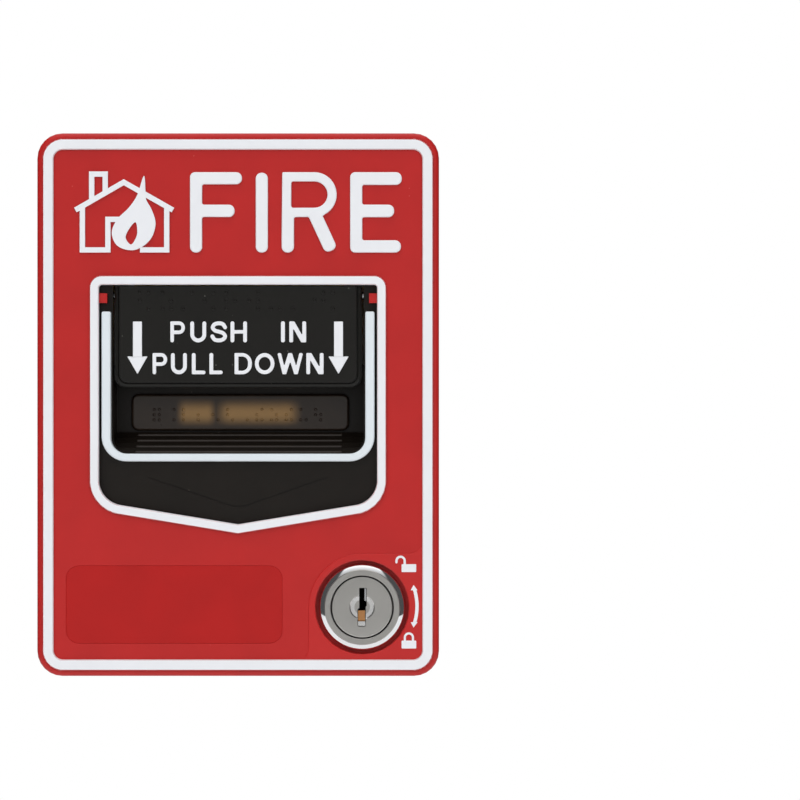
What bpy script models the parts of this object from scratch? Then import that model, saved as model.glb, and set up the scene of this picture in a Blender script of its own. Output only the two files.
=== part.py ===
"""Manual fire alarm pull station: a hinged red cover on a wall plate, with a push plate and a pull handle.

Metres, +Z up, the wall is the plane y = 0 and the front faces -Y. The origin is the middle of the wall
face. A depth is a distance out from the wall, so a point at depth d has y = -d.
"""
import math

import bmesh
import bpy
from mathutils import Matrix, Vector

MM = 0.001
GAP = 0.3 * MM                 # between two pieces that rest on each other
BORE_CLEAR = 0.35 * MM         # round a screw or the lock barrel in its hole
OVER = 5 * MM                  # how far a cutter runs past what it cuts

# ---- driving dimensions -------------------------------------------------------------------------
COVER_W = 104.0 * MM
COVER_H = 140.5 * MM
COVER_R = 6.5 * MM             # outer corner, seen from the front
FACE_D = 34.4 * MM             # depth of the red face
RIM_D = 35.3 * MM              # depth of the raised white bands
FACE_T = 2.4 * MM
WALL_T = 2.2 * MM
COVER_BACK_D = 0.6 * MM        # shadow gap between the cover and the wall
HINGE_SIDE_BACK_D = 1.7 * MM   # a wider gap along the hinge side, so that the cover can open

BAND_INSET = 1.6 * MM          # the border band, measured in from the cover's edge
BAND_W = 2.6 * MM
BAND_R = 5.2 * MM

WINDOW_HALF_W = 36.1 * MM
WINDOW_TOP_Z = 31.1 * MM
WINDOW_TOP_R = 0.9 * MM
WINDOW_CORNER_R = 6.7 * MM
WINDOW_CORNER_Z = -19.5 * MM   # centre height of the two lower corners
WINDOW_SLOPE = math.radians(9.3)
FRAME_W = 2.2 * MM
LUG_W = 2.2 * MM
LUG_H = 2.5 * MM
LUG_Z = 27.55 * MM

LABEL_X = (-44.5 * MM, 11.5 * MM)
LABEL_Z = (-61.8 * MM, -41.6 * MM)
LABEL_R = 3.4 * MM
LABEL_SINK = 0.4 * MM

TRAVEL = 10.0 * MM             # handle, downwards
PUSH_ANGLE = math.radians(6.0)
HANDLE_LAP = 1.6 * MM          # handle plate behind the window's edge, all round
HANDLE_T = 2.5 * MM
PUSH_CLEAR = 0.9 * MM          # the pocket's top wall stops this far behind the handle plate
TRIM_W = 2.4 * MM
TRIM_BOTTOM_H = 2.0 * MM
TRIM_T = 2.6 * MM
TRIM_TOP_Z = 24.1 * MM
TRIM_BOTTOM_Z = -14.7 * MM
TRIM_R = 6.5 * MM
TRIM_SIDE_GAP = 0.8 * MM       # between the trim and the window's edge

POCKET_WALL = 1.6 * MM
POCKET_FLOOR_D = 19.0 * MM
POCKET_TOP_Z = 10.4 * MM
RIB_COUNT = 4
RIB_TOP_Z = -7.3 * MM

PLATE_BOTTOM_Z = 5.6 * MM       # push plate, its raised face
PLATE_GAP = 0.4 * MM           # round it in its opening
PLATE_T = 1.7 * MM
PLATE_FLARE = 1.3 * MM
PLATE_FRONT_D = 34.3 * MM
PLATE_R = 2.4 * MM             # its lower corners
PLATE_TOP_R = 0.6 * MM

LOCK_INSET = 19.9 * MM         # the lock's axis, measured in from the cover's right edge
LOCK_Z = -52.4 * MM
LOCK_SEAT_R = 12.15 * MM
LOCK_SEAT_SINK = 2.8 * MM
LOCK_FLANGE_R = 11.15 * MM
LOCK_RING_R = 9.75 * MM
LOCK_BARREL_R = 9.3 * MM
LOCK_BARREL_BACK_D = 13.0 * MM
PLUG_R = 7.9 * MM
PLUG_CLEAR = 0.3 * MM
KEYWAY_W = 2.4 * MM
KEYWAY_H = 10.0 * MM
KEYWAY_DEEP = 16.0 * MM
NUT_T = 3.2 * MM
NUT_FLATS = 23.0 * MM
CAM_T = 2.0 * MM
CAM_W = 9.0 * MM
CAM_REACH = 13.1 * MM

BACK_T = 2.0 * MM
BACK_CLEAR = 0.55 * MM         # between the wall plate and the cover's inner walls
SINGLE_BOX_SPACING = 83.3 * MM
DOUBLE_BOX_SPACING = 46.0 * MM
BOX_SLOT_W = 4.4 * MM
BOX_SLOT_H = 8.0 * MM
WIRE_HOLE_HALF_W = 17.0 * MM
WIRE_HOLE_Z = (9.0 * MM, 35.0 * MM)

HINGE_R = 2.4 * MM
HINGE_BORE_R = 1.3 * MM
HINGE_PIN_R = 1.0 * MM
HINGE_LENGTH = 24.0 * MM
HINGE_SPAN = 88.0 * MM         # between the middles of the two hinges
LEAF_T = 1.0 * MM
LEAF_REACH = 10.5 * MM

CARRIER_T = 2.7 * MM
CARRIER_INSET = 4.0 * MM       # its ends, measured in from the cover's sides
CARRIER_TOP_Z = 37.5 * MM
CARRIER_BOTTOM_Z = -39.6 * MM
CARRIER_SCREW_INSET = 4.5 * MM
CARRIER_SCREW_Z = (-33.5 * MM, 31.0 * MM)
BOSS_R = 3.4 * MM
RAIL_W = 1.4 * MM              # guide rails beside the handle plate

SWITCH_W = 27.8 * MM
SWITCH_H = 10.3 * MM
SWITCH_L = 13.4 * MM
SWITCH_TOP_Z = -25.2 * MM
SWITCH_FRONT_D = 24.4 * MM
SWITCH_HOLE_SPACING = 22.2 * MM
BLADE_T = 0.8 * MM
BLADE_W = 4.8 * MM
BLADE_L = 6.3 * MM
PLUNGER_X = 7.5 * MM
PLUNGER_R = 1.2 * MM
PLUNGER_STROKE = 1.2 * MM
PAWL_X = -20.0 * MM
PAWL_W = 4.0 * MM
PAWL_SWING = 1.6 * MM          # how far the ramp pushes the pawl's nose back
PAWL_HUB_R = 2.2 * MM
PAWL_PIN_R = 0.9 * MM
PAWL_NOSE_R = 0.8 * MM
PAWL_NOSE_Z = -27.6 * MM
PAWL_PIVOT_Z = -35.5 * MM
RAMP_THIN = 0.4 * MM
RAMP_W = 4.4 * MM

SPRING_R = 2.2 * MM            # to the middle of the wire
SPRING_WIRE_R = 0.3 * MM
SPRING_TURNS = 7
GUIDE_R = 1.2 * MM             # rods inside the return springs
GUIDE_TALL = 11.0 * MM
GUIDE_TAIL = 2.6 * MM
SPRING_D = 22.4 * MM
SPRING_TAB_Z = (7.6 * MM, 9.4 * MM)
SPRING_SEAT_Z = (-24.0 * MM, -22.0 * MM)

TERMINALS = 4
TERMINAL_PITCH = 9.0 * MM
BLOCK_H = 13.0 * MM
BLOCK_D = 11.0 * MM

ARC_STEPS = 6
ROUND_STEPS = 20
SCREW_STEPS = 12

# ---- worked out from the driving dimensions -----------------------------------------------------
FACE_BACK_D = FACE_D - FACE_T
INNER_HALF_W = COVER_W / 2 - WALL_T
INNER_HALF_H = COVER_H / 2 - WALL_T
HINGE_X = -COVER_W / 2 + HINGE_R
LOCK_X = COVER_W / 2 - LOCK_INSET
CARRIER_HALF_W = COVER_W / 2 - CARRIER_INSET
CARRIER_SCREW_X = CARRIER_HALF_W - CARRIER_SCREW_INSET
HINGE_D = HINGE_R + 0.2 * MM
HANDLE_FRONT_D = FACE_BACK_D - GAP
HANDLE_BACK_D = HANDLE_FRONT_D - HANDLE_T
HANDLE_HALF_W = WINDOW_HALF_W + HANDLE_LAP
CARRIER_FRONT_D = HANDLE_BACK_D - GAP
CARRIER_BACK_D = CARRIER_FRONT_D - CARRIER_T
TRIM_HALF_W = WINDOW_HALF_W - TRIM_SIDE_GAP
POCKET_HALF_W = TRIM_HALF_W - TRIM_W - 0.4 * MM
POCKET_BOTTOM_Z = TRIM_BOTTOM_Z + TRIM_BOTTOM_H + 0.2 * MM
TUB_BACK_D = POCKET_FLOOR_D - POCKET_WALL
SPRING_X = POCKET_HALF_W + POCKET_WALL + 4.1 * MM
PLATE_BASE_HALF_W = POCKET_HALF_W - PLATE_GAP
PLATE_HALF_W = PLATE_BASE_HALF_W - PLATE_FLARE
PLATE_TOP_Z = WINDOW_TOP_Z - PLATE_GAP
PLATE_BASE_FRONT_D = PLATE_FRONT_D - PLATE_T
PLATE_BASE_BACK_D = PLATE_BASE_FRONT_D - PLATE_T
PIVOT_Z = PLATE_TOP_Z - 2.3 * MM
PIVOT_D = PLATE_BASE_BACK_D - 2.3 * MM
LOCK_SEAT_D = FACE_D - LOCK_SEAT_SINK
LOCK_BOSS_R = LOCK_SEAT_R + 1.05 * MM
LOCK_BOSS_BACK_D = LOCK_SEAT_D - 2.0 * MM
CAM_FRONT_D = LOCK_BARREL_BACK_D - GAP - 0.4 * MM
CAM_BACK_D = CAM_FRONT_D - CAM_T
PLUNGER_Z = SWITCH_TOP_Z - SWITCH_H / 2
SWITCH_BACK_D = SWITCH_FRONT_D - SWITCH_L
PAWL_PIVOT_D = CARRIER_BACK_D - PAWL_HUB_R - 0.4 * MM
BLOCK_FRONT_D = BACK_T + GAP + BLOCK_D

MODEL = bpy.data.collections.new("pull_station")
HELPERS = bpy.data.collections.new("cutters")


# ---- outlines, as (x, z) points seen from the front ---------------------------------------------
def arc(cx, cz, radius, start, end, steps=ARC_STEPS):
    turns = [math.radians(start + (end - start) * i / steps) for i in range(steps + 1)]
    return [(cx + radius * math.cos(a), cz + radius * math.sin(a)) for a in turns]


def circle(cx, cz, radius, steps=ROUND_STEPS):
    return arc(cx, cz, radius, 0, 360, steps)[:-1]


def round_rect(x0, x1, z0, z1, radius, steps=ARC_STEPS):
    left, right = x0 + radius, x1 - radius
    low, high = z0 + radius, z1 - radius
    corners = ((right, high, 0), (left, high, 90), (left, low, 180), (right, low, 270))
    return [p for cx, cz, start in corners for p in arc(cx, cz, radius, start, start + 90, steps)]


def plate_outline(half, bottom, top, low_r=PLATE_R):
    """The push plate or its opening from the front: tight upper corners and round lower ones."""
    return mirrored(arc(half - PLATE_TOP_R, top - PLATE_TOP_R, PLATE_TOP_R, 90, 0)
                    + arc(half - low_r, bottom + low_r, low_r, 0, -90))


def mirrored(right_half):
    """A closed outline from its right half, given from the top down."""
    return right_half + [(-x, z) for x, z in reversed(right_half) if x > 0]


def window_outline(grow):
    """The handle window, straight-sided with a shallow pointed foot, grown outwards all round."""
    half = WINDOW_HALF_W + grow
    top = WINDOW_TOP_Z + grow
    top_r = WINDOW_TOP_R + max(grow, 0)
    low_r = WINDOW_CORNER_R + grow
    cx = WINDOW_HALF_W - WINDOW_CORNER_R
    slope = math.degrees(WINDOW_SLOPE)
    tip = WINDOW_CORNER_Z - (low_r + cx * math.sin(WINDOW_SLOPE)) / math.cos(WINDOW_SLOPE)
    right = arc(half - top_r, top - top_r, top_r, 90, 0) + arc(cx, WINDOW_CORNER_Z, low_r, 0, slope - 90)
    return mirrored(right + [(0.0, tip)])


# ---- modelling helpers --------------------------------------------------------------------------
def material(name, color, roughness, metallic=0.0):
    made = bpy.data.materials.new(name)
    made.use_nodes = True
    shader = made.node_tree.nodes["Principled BSDF"]
    shader.inputs["Base Color"].default_value = (*color, 1)
    shader.inputs["Roughness"].default_value = roughness
    shader.inputs["Metallic"].default_value = metallic
    return made


def keep(thing, name, look=None):
    """Puts an object into the model, or into the helpers when it has no look of its own."""
    for old in list(thing.users_collection):
        old.objects.unlink(thing)
    (MODEL if look else HELPERS).objects.link(thing)
    thing.name = name
    if look:
        thing.data.materials.clear()
        thing.data.materials.append(material(name, *look))
    else:
        thing.hide_render = True
        thing.display_type = "WIRE"
    return thing


def meshed(thing):
    """The mesh object that a curve object makes, with its caps welded."""
    bpy.context.view_layer.update()
    mesh = bpy.data.meshes.new_from_object(thing.evaluated_get(bpy.context.evaluated_depsgraph_get()))
    shape = bmesh.new()
    shape.from_mesh(mesh)
    bmesh.ops.remove_doubles(shape, verts=shape.verts, dist=1e-7)
    bmesh.ops.recalc_face_normals(shape, faces=shape.faces)
    shape.to_mesh(mesh)
    shape.free()
    made = bpy.data.objects.new("piece", mesh)
    made.matrix_world = thing.matrix_world
    bpy.context.scene.collection.objects.link(made)
    bpy.data.objects.remove(thing)
    return made


def extruded(outlines, half_length):
    """An object from flat outlines; an outline inside another is a hole."""
    curve = bpy.data.curves.new("outline", "CURVE")
    curve.dimensions = "2D"
    curve.fill_mode = "BOTH"
    curve.extrude = half_length
    for outline in outlines:
        spline = curve.splines.new("POLY")
        spline.points.add(len(outline) - 1)
        for point, (u, v) in zip(spline.points, outline):
            point.co = (u, v, 0, 1)
        spline.use_cyclic_u = True
    made = bpy.data.objects.new("outline", curve)
    bpy.context.scene.collection.objects.link(made)
    return made


def slab(name, outlines, back_d, front_d, look=None):
    """A piece with the outline seen from the front, between two depths."""
    made = extruded(outlines, (front_d - back_d) / 2)
    made.location = (0, -(front_d + back_d) / 2, 0)
    made.rotation_euler = (math.pi / 2, 0, 0)
    return keep(meshed(made), name, look)


def bar(name, outline, x0, x1, look=None):
    """A piece with an outline of (depth, z) points, between two places along X."""
    made = extruded([outline], (x1 - x0) / 2)
    made.location = ((x0 + x1) / 2, 0, 0)
    made.rotation_euler = (math.pi / 2, 0, -math.pi / 2)
    return keep(meshed(made), name, look)


def block(name, x, z, d, look=None):
    """A box from its (low, high) pairs along X, Z and depth."""
    centre = ((x[0] + x[1]) / 2, -(d[0] + d[1]) / 2, (z[0] + z[1]) / 2)
    bpy.ops.mesh.primitive_cube_add(size=1, location=centre)
    made = bpy.context.object
    made.data.transform(Matrix.Diagonal((x[1] - x[0], d[1] - d[0], z[1] - z[0], 1)))
    return keep(made, name, look)


def turned(name, profile, at, facing, look=None, steps=ROUND_STEPS):
    """A turned piece. The profile is (radius, height) down its outer side; height runs along facing."""
    mesh = bpy.data.meshes.new(name)
    closed = profile[0][0] > 0
    edges = [(i, i + 1) for i in range(len(profile) - 1)]
    if closed:
        edges.append((len(profile) - 1, 0))
    mesh.from_pydata([(r, 0, h) for r, h in profile], edges, [])
    made = bpy.data.objects.new(name, mesh)
    bpy.context.scene.collection.objects.link(made)
    made.location = at
    made.rotation_mode = "QUATERNION"
    made.rotation_quaternion = Vector(facing).to_track_quat("Z", "Y")
    turn = made.modifiers.new("turn", "SCREW")
    turn.steps = steps
    turn.render_steps = steps
    turn.use_merge_vertices = True
    turn.merge_threshold = 1e-6
    return keep(made, name, look)


def point(x, d, z):
    return (x, -d, z)


def ring(name, outer, inner):
    """A raised band on the face, between two outlines."""
    band = slab(name, [outer], FACE_D - 1 * MM, RIM_D)
    return cut(band, slab(name + "_inside", [inner], FACE_D - 3 * MM, RIM_D + 3 * MM))


def boolean(target, other, operation):
    step = target.modifiers.new(other.name, "BOOLEAN")
    step.operation = operation
    step.solver = "EXACT"
    step.object = other
    return target


def cut(target, *others):
    for other in others:
        boolean(target, other, "DIFFERENCE")
    return target


def add(target, *others):
    for other in others:
        boolean(target, other, "UNION")
    return target


def screw_profile(head_r, head_h, shank_r, length, socket_r=0.0, socket_h=0.0):
    """A headed screw from the top of its head down; height 0 is under the head."""
    top = [(0, head_h)]
    if socket_r:
        top = [(0, head_h - socket_h), (socket_r, head_h - socket_h), (socket_r, head_h)]
    return top + [(head_r * 0.8, head_h), (head_r, head_h * 0.55), (head_r, 0), (shank_r, 0),
                  (shank_r, -length), (0, -length)]


def coil(name, start, direction, radius, wire_r, turns, length, look, per_turn=8):
    """A spring along Z or X that starts at a point and runs along direction."""
    curve = bpy.data.curves.new(name, "CURVE")
    curve.dimensions = "3D"
    curve.bevel_depth = wire_r
    curve.bevel_resolution = 2
    curve.use_fill_caps = True
    spline = curve.splines.new("POLY")
    count = turns * per_turn
    spline.points.add(count)
    for i, knot in enumerate(spline.points):
        angle = 2 * math.pi * i / per_turn
        knot.co = (radius * math.cos(angle), radius * math.sin(angle), length * i / count, 1)
    made = bpy.data.objects.new(name, curve)
    bpy.context.scene.collection.objects.link(made)
    made.location = start
    made.rotation_euler = Vector(direction).to_track_quat("Z", "Y").to_euler()
    return keep(meshed(made), name, look)


def joint(name, at, pieces):
    """An empty on a joint's axis that carries its pieces."""
    pivot = bpy.data.objects.new(name, None)
    pivot.location = at
    MODEL.objects.link(pivot)
    bpy.context.view_layer.update()
    for piece in pieces:
        piece.parent = pivot
        piece.matrix_parent_inverse = pivot.matrix_world.inverted()
    return pivot


# ---- looks: colour, roughness, metallic ---------------------------------------------------------
RED = ((0.46, 0.03, 0.03), 0.42)
BLACK = ((0.02, 0.019, 0.017), 0.45)
WHITE = ((0.76, 0.81, 0.84), 0.4)
AMBER = ((0.24, 0.13, 0.05), 0.3)
YELLOW = ((0.85, 0.6, 0.05), 0.45)
GREY = ((0.25, 0.26, 0.27), 0.5)
GREEN = ((0.03, 0.3, 0.08), 0.45)
ZINC = ((0.62, 0.62, 0.6), 0.35, 1.0)
CHROME = ((0.8, 0.8, 0.8), 0.12, 1.0)
NICKEL = ((0.62, 0.6, 0.56), 0.3, 1.0)
BRASS = ((0.7, 0.45, 0.2), 0.3, 1.0)
SPRING_STEEL = ((0.5, 0.5, 0.5), 0.25, 1.0)


# ---- wall side ----------------------------------------------------------------------------------
def wall_plate():
    half_w = INNER_HALF_W - BACK_CLEAR
    half_h = INNER_HALF_H - BACK_CLEAR
    left = HINGE_X + HINGE_R + 0.4 * MM
    holes = []
    for side in (-1, 1):
        low, high = sorted((side * WIRE_HOLE_Z[0], side * WIRE_HOLE_Z[1]))
        holes.append(round_rect(-WIRE_HOLE_HALF_W, WIRE_HOLE_HALF_W, low, high, 3 * MM, 3))
        z = side * SINGLE_BOX_SPACING / 2
        for x in (-DOUBLE_BOX_SPACING / 2, 0, DOUBLE_BOX_SPACING / 2):
            holes.append(round_rect(x - BOX_SLOT_W / 2, x + BOX_SLOT_W / 2, z - BOX_SLOT_H / 2,
                                    z + BOX_SLOT_H / 2, BOX_SLOT_W / 2 - 0.05 * MM, 3))
    return slab("back_plate", [round_rect(left, half_w, -half_h, half_h, 4 * MM)] + holes, 0, BACK_T, ZINC)


def hinge(where, middle_z, plate):
    """One hinge: a wall leaf with the outer knuckles, a cover leaf with the middle one, and a pin."""
    third = HINGE_LENGTH / 3
    slack = 0.2 * MM
    spans = {"wall": [(-1.5 * third, -0.5 * third - slack), (0.5 * third + slack, 1.5 * third)],
             "cover": [(-0.5 * third + slack, 0.5 * third - slack)]}
    leaves = {}
    for side, knuckles in spans.items():
        low, high = knuckles[0][0] + middle_z, knuckles[-1][1] + middle_z
        name = f"{where}_hinge_{side}_leaf"
        if side == "wall":
            leaf = block(name, (HINGE_X + 1.7 * MM, HINGE_X + HINGE_R + LEAF_REACH), (low, high),
                         (BACK_T + GAP, BACK_T + GAP + LEAF_T), ZINC)
            cut(leaf, block(name + "_clear", (HINGE_X - HINGE_R, HINGE_X + HINGE_R + 0.5 * MM),
                            (middle_z - 0.5 * third - slack, middle_z + 0.5 * third + slack),
                            (0, 3 * HINGE_R)))
        else:
            leaf = block(name, (-INNER_HALF_W + GAP, -INNER_HALF_W + GAP + LEAF_T), (low, high),
                         (HINGE_D + 1.7 * MM, HINGE_D + HINGE_R + LEAF_REACH), ZINC)
        for i, (z0, z1) in enumerate(knuckles):
            barrel = [(HINGE_R, z1 - z0), (HINGE_R, 0), (0, 0)]
            add(leaf, turned(f"{name}_knuckle_{i}", [(0, z1 - z0)] + barrel,
                             point(HINGE_X, HINGE_D, middle_z + z0), (0, 0, 1), steps=16))
        cut(leaf, turned(name + "_bore", [(0, 2 * HINGE_LENGTH), (HINGE_BORE_R, 2 * HINGE_LENGTH),
                                          (HINGE_BORE_R, 0), (0, 0)],
                         point(HINGE_X, HINGE_D, middle_z - HINGE_LENGTH), (0, 0, 1), steps=SCREW_STEPS))
        leaves[side] = leaf
    head = 0.9 * MM
    pin_profile = [(0, head), (HINGE_R * 0.8, head), (HINGE_R * 0.8, 0), (HINGE_PIN_R, 0),
                   (HINGE_PIN_R, -HINGE_LENGTH - head), (0, -HINGE_LENGTH - head)]
    turned(f"{where}_hinge_pin", pin_profile,
           point(HINGE_X, HINGE_D, middle_z + HINGE_LENGTH / 2 + GAP), (0, 0, 1), SPRING_STEEL, SCREW_STEPS)
    rivet_x = HINGE_X + HINGE_R + LEAF_REACH * 0.62
    for i, dz in enumerate((-third, third), 1):
        fixing(f"{where}_hinge_screw_{i}", (rivet_x, middle_z + dz), leaves["wall"], BACK_T + GAP + LEAF_T,
               1.9 * MM, 1.0 * MM, 0.9 * MM, plate)
    return leaves["cover"]


def fixing(name, at, through, seat_d, head_r, head_h, shank_r, into=None, look=ZINC, facing=-1, deep=None):
    """A screw driven towards the wall (facing -1) or towards the front (facing 1), and its clearance hole.

    seat_d is the depth of the surface that its head bears on, through the piece it passes.
    """
    out = -facing
    length = deep or 2.2 * MM
    x, z = at
    direction = (0, -out, 0)
    seat = seat_d + out * GAP
    profile = screw_profile(head_r, head_h, shank_r, length, head_r * 0.42, head_h * 0.5)
    made = turned(name, profile, point(x, seat, z), direction, look, SCREW_STEPS)
    clear = shank_r + BORE_CLEAR
    hole = slab(name + "_hole", [circle(x, z, clear, SCREW_STEPS)],
                min(seat, seat - out * (length + GAP)), max(seat, seat - out * (length + GAP)))
    for piece in (through, into):
        if piece:
            cut(piece, hole)
    return made


def terminals(plate):
    half = TERMINALS * TERMINAL_PITCH / 2
    ear = 6.0 * MM
    low_d = BACK_T + GAP
    body = block("terminal_block", (-half, half), (-BLOCK_H / 2, BLOCK_H / 2), (low_d, BLOCK_FRONT_D), GREY)
    add(body, block("block_ears", (-half - ear, half + ear), (-BLOCK_H / 2 + 2 * MM, BLOCK_H / 2 - 2 * MM),
                    (low_d, low_d + 3 * MM)))
    well = 4.6 * MM
    for i in range(TERMINALS):
        x = (i - (TERMINALS - 1) / 2) * TERMINAL_PITCH
        cut(body, block(f"terminal_well_{i}", (x - 3.6 * MM, x + 3.6 * MM), (-BLOCK_H, BLOCK_H),
                        (BLOCK_FRONT_D - well, BLOCK_FRONT_D + well)))
        floor = BLOCK_FRONT_D - well
        clamp = block(f"terminal_clamp_{i + 1}", (x - 3.1 * MM, x + 3.1 * MM), (-4.2 * MM, 4.2 * MM),
                      (floor + GAP, floor + GAP + 1.0 * MM), BRASS)
        fixing(f"terminal_screw_{i + 1}", (x, 0), clamp, floor + GAP + 1.0 * MM, 2.6 * MM, 1.9 * MM,
               1.2 * MM, body, ZINC, deep=5 * MM)
    for side, x in (("left", -half - ear / 2), ("right", half + ear / 2)):
        fixing(f"block_screw_{side}", (x, 0), body, low_d + 3 * MM, 2.1 * MM, 1.5 * MM, 1.1 * MM, plate,
               deep=4.4 * MM)


def strike(plate):
    """The hooked bracket that the lock's cam turns behind."""
    x0 = LOCK_X + LOCK_BARREL_R + 0.8 * MM
    x1 = INNER_HALF_W - 2.0 * MM
    thick = 1.5 * MM
    low_d = BACK_T + GAP
    lip_d = CAM_FRONT_D + 0.5 * MM
    top_d = lip_d + thick
    z0, z1 = LOCK_Z - 6 * MM, LOCK_Z + 6 * MM
    foot = block("strike_bracket", (x1 - 13 * MM, x1), (z0, z1), (low_d, low_d + thick), ZINC)
    add(foot, block("strike_wall", (x1 - thick, x1), (z0, z1), (low_d, top_d)),
        block("strike_lip", (x0, x1), (z0, z1), (lip_d, top_d)))
    for i, dz in enumerate((-3.2 * MM, 3.2 * MM), 1):
        fixing(f"strike_screw_{i}", (x1 - 9.8 * MM, LOCK_Z + dz), foot, low_d + thick, 1.9 * MM, 1.1 * MM,
               1.0 * MM, plate, deep=2.9 * MM)


# ---- cover side ---------------------------------------------------------------------------------
def front_cover():
    w, h = COVER_W / 2, COVER_H / 2
    cover = slab("front_cover", [round_rect(-w, w, -h, h, COVER_R)], COVER_BACK_D, FACE_D, RED)
    cut(cover, slab("cover_hollow", [round_rect(-INNER_HALF_W, INNER_HALF_W, -INNER_HALF_H, INNER_HALF_H,
                                                COVER_R - WALL_T)], -5 * MM, FACE_BACK_D))
    outer = BAND_INSET
    inner = BAND_INSET + BAND_W
    add(cover, ring("border_band", round_rect(-w + outer, w - outer, -h + outer, h - outer, BAND_R),
                    round_rect(-w + inner, w - inner, -h + inner, h - inner, BAND_R - BAND_W)),
        ring("window_band", window_outline(FRAME_W), window_outline(-1 * MM)))
    cut(cover, slab("window_cut", [window_outline(0)], FACE_BACK_D - 5 * MM, RIM_D + OVER))
    for side in (-1, 1):
        edge = side * WINDOW_HALF_W
        xs = sorted((edge - side * LUG_W, edge + side * 1.5 * MM))
        add(cover, block("window_lug", xs, (LUG_Z - LUG_H / 2, LUG_Z + LUG_H / 2),
                         (FACE_BACK_D + 0.35 * MM, FACE_D - 0.4 * MM)))
    cut(cover, slab("label_recess", [round_rect(*LABEL_X, *LABEL_Z, LABEL_R)], FACE_D - LABEL_SINK,
                    FACE_D + OVER))
    add(cover, slab("lock_boss", [circle(LOCK_X, LOCK_Z, LOCK_BOSS_R, 28)], LOCK_BOSS_BACK_D,
                    FACE_BACK_D + 0.5 * MM))
    lock_hole = circle(LOCK_X, LOCK_Z, LOCK_BARREL_R + BORE_CLEAR, 24)
    cut(cover, slab("lock_seat", [circle(LOCK_X, LOCK_Z, LOCK_SEAT_R, 28)], LOCK_SEAT_D, FACE_D + OVER),
        slab("lock_hole", [lock_hole], LOCK_BOSS_BACK_D - OVER, FACE_D + OVER))
    for x in (-CARRIER_SCREW_X, CARRIER_SCREW_X):
        for z in CARRIER_SCREW_Z:
            add(cover, slab("carrier_boss", [circle(x, z, BOSS_R, 16)], CARRIER_FRONT_D + GAP,
                            FACE_BACK_D + 0.5 * MM))
    relief_x = (-COVER_W, HINGE_X + HINGE_R + 0.3 * MM)
    cut(cover, block("hinge_side_relief", relief_x, (-COVER_H, COVER_H), (-5 * MM, HINGE_SIDE_BACK_D)))
    for sign in (-1, 1):
        z = sign * HINGE_SPAN / 2
        half = HINGE_LENGTH / 2 + 1.7 * MM
        cut(cover, block("hinge_notch", relief_x, (z - half, z + half), (-5 * MM, HINGE_D + HINGE_R + GAP)))
    return cover


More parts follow.
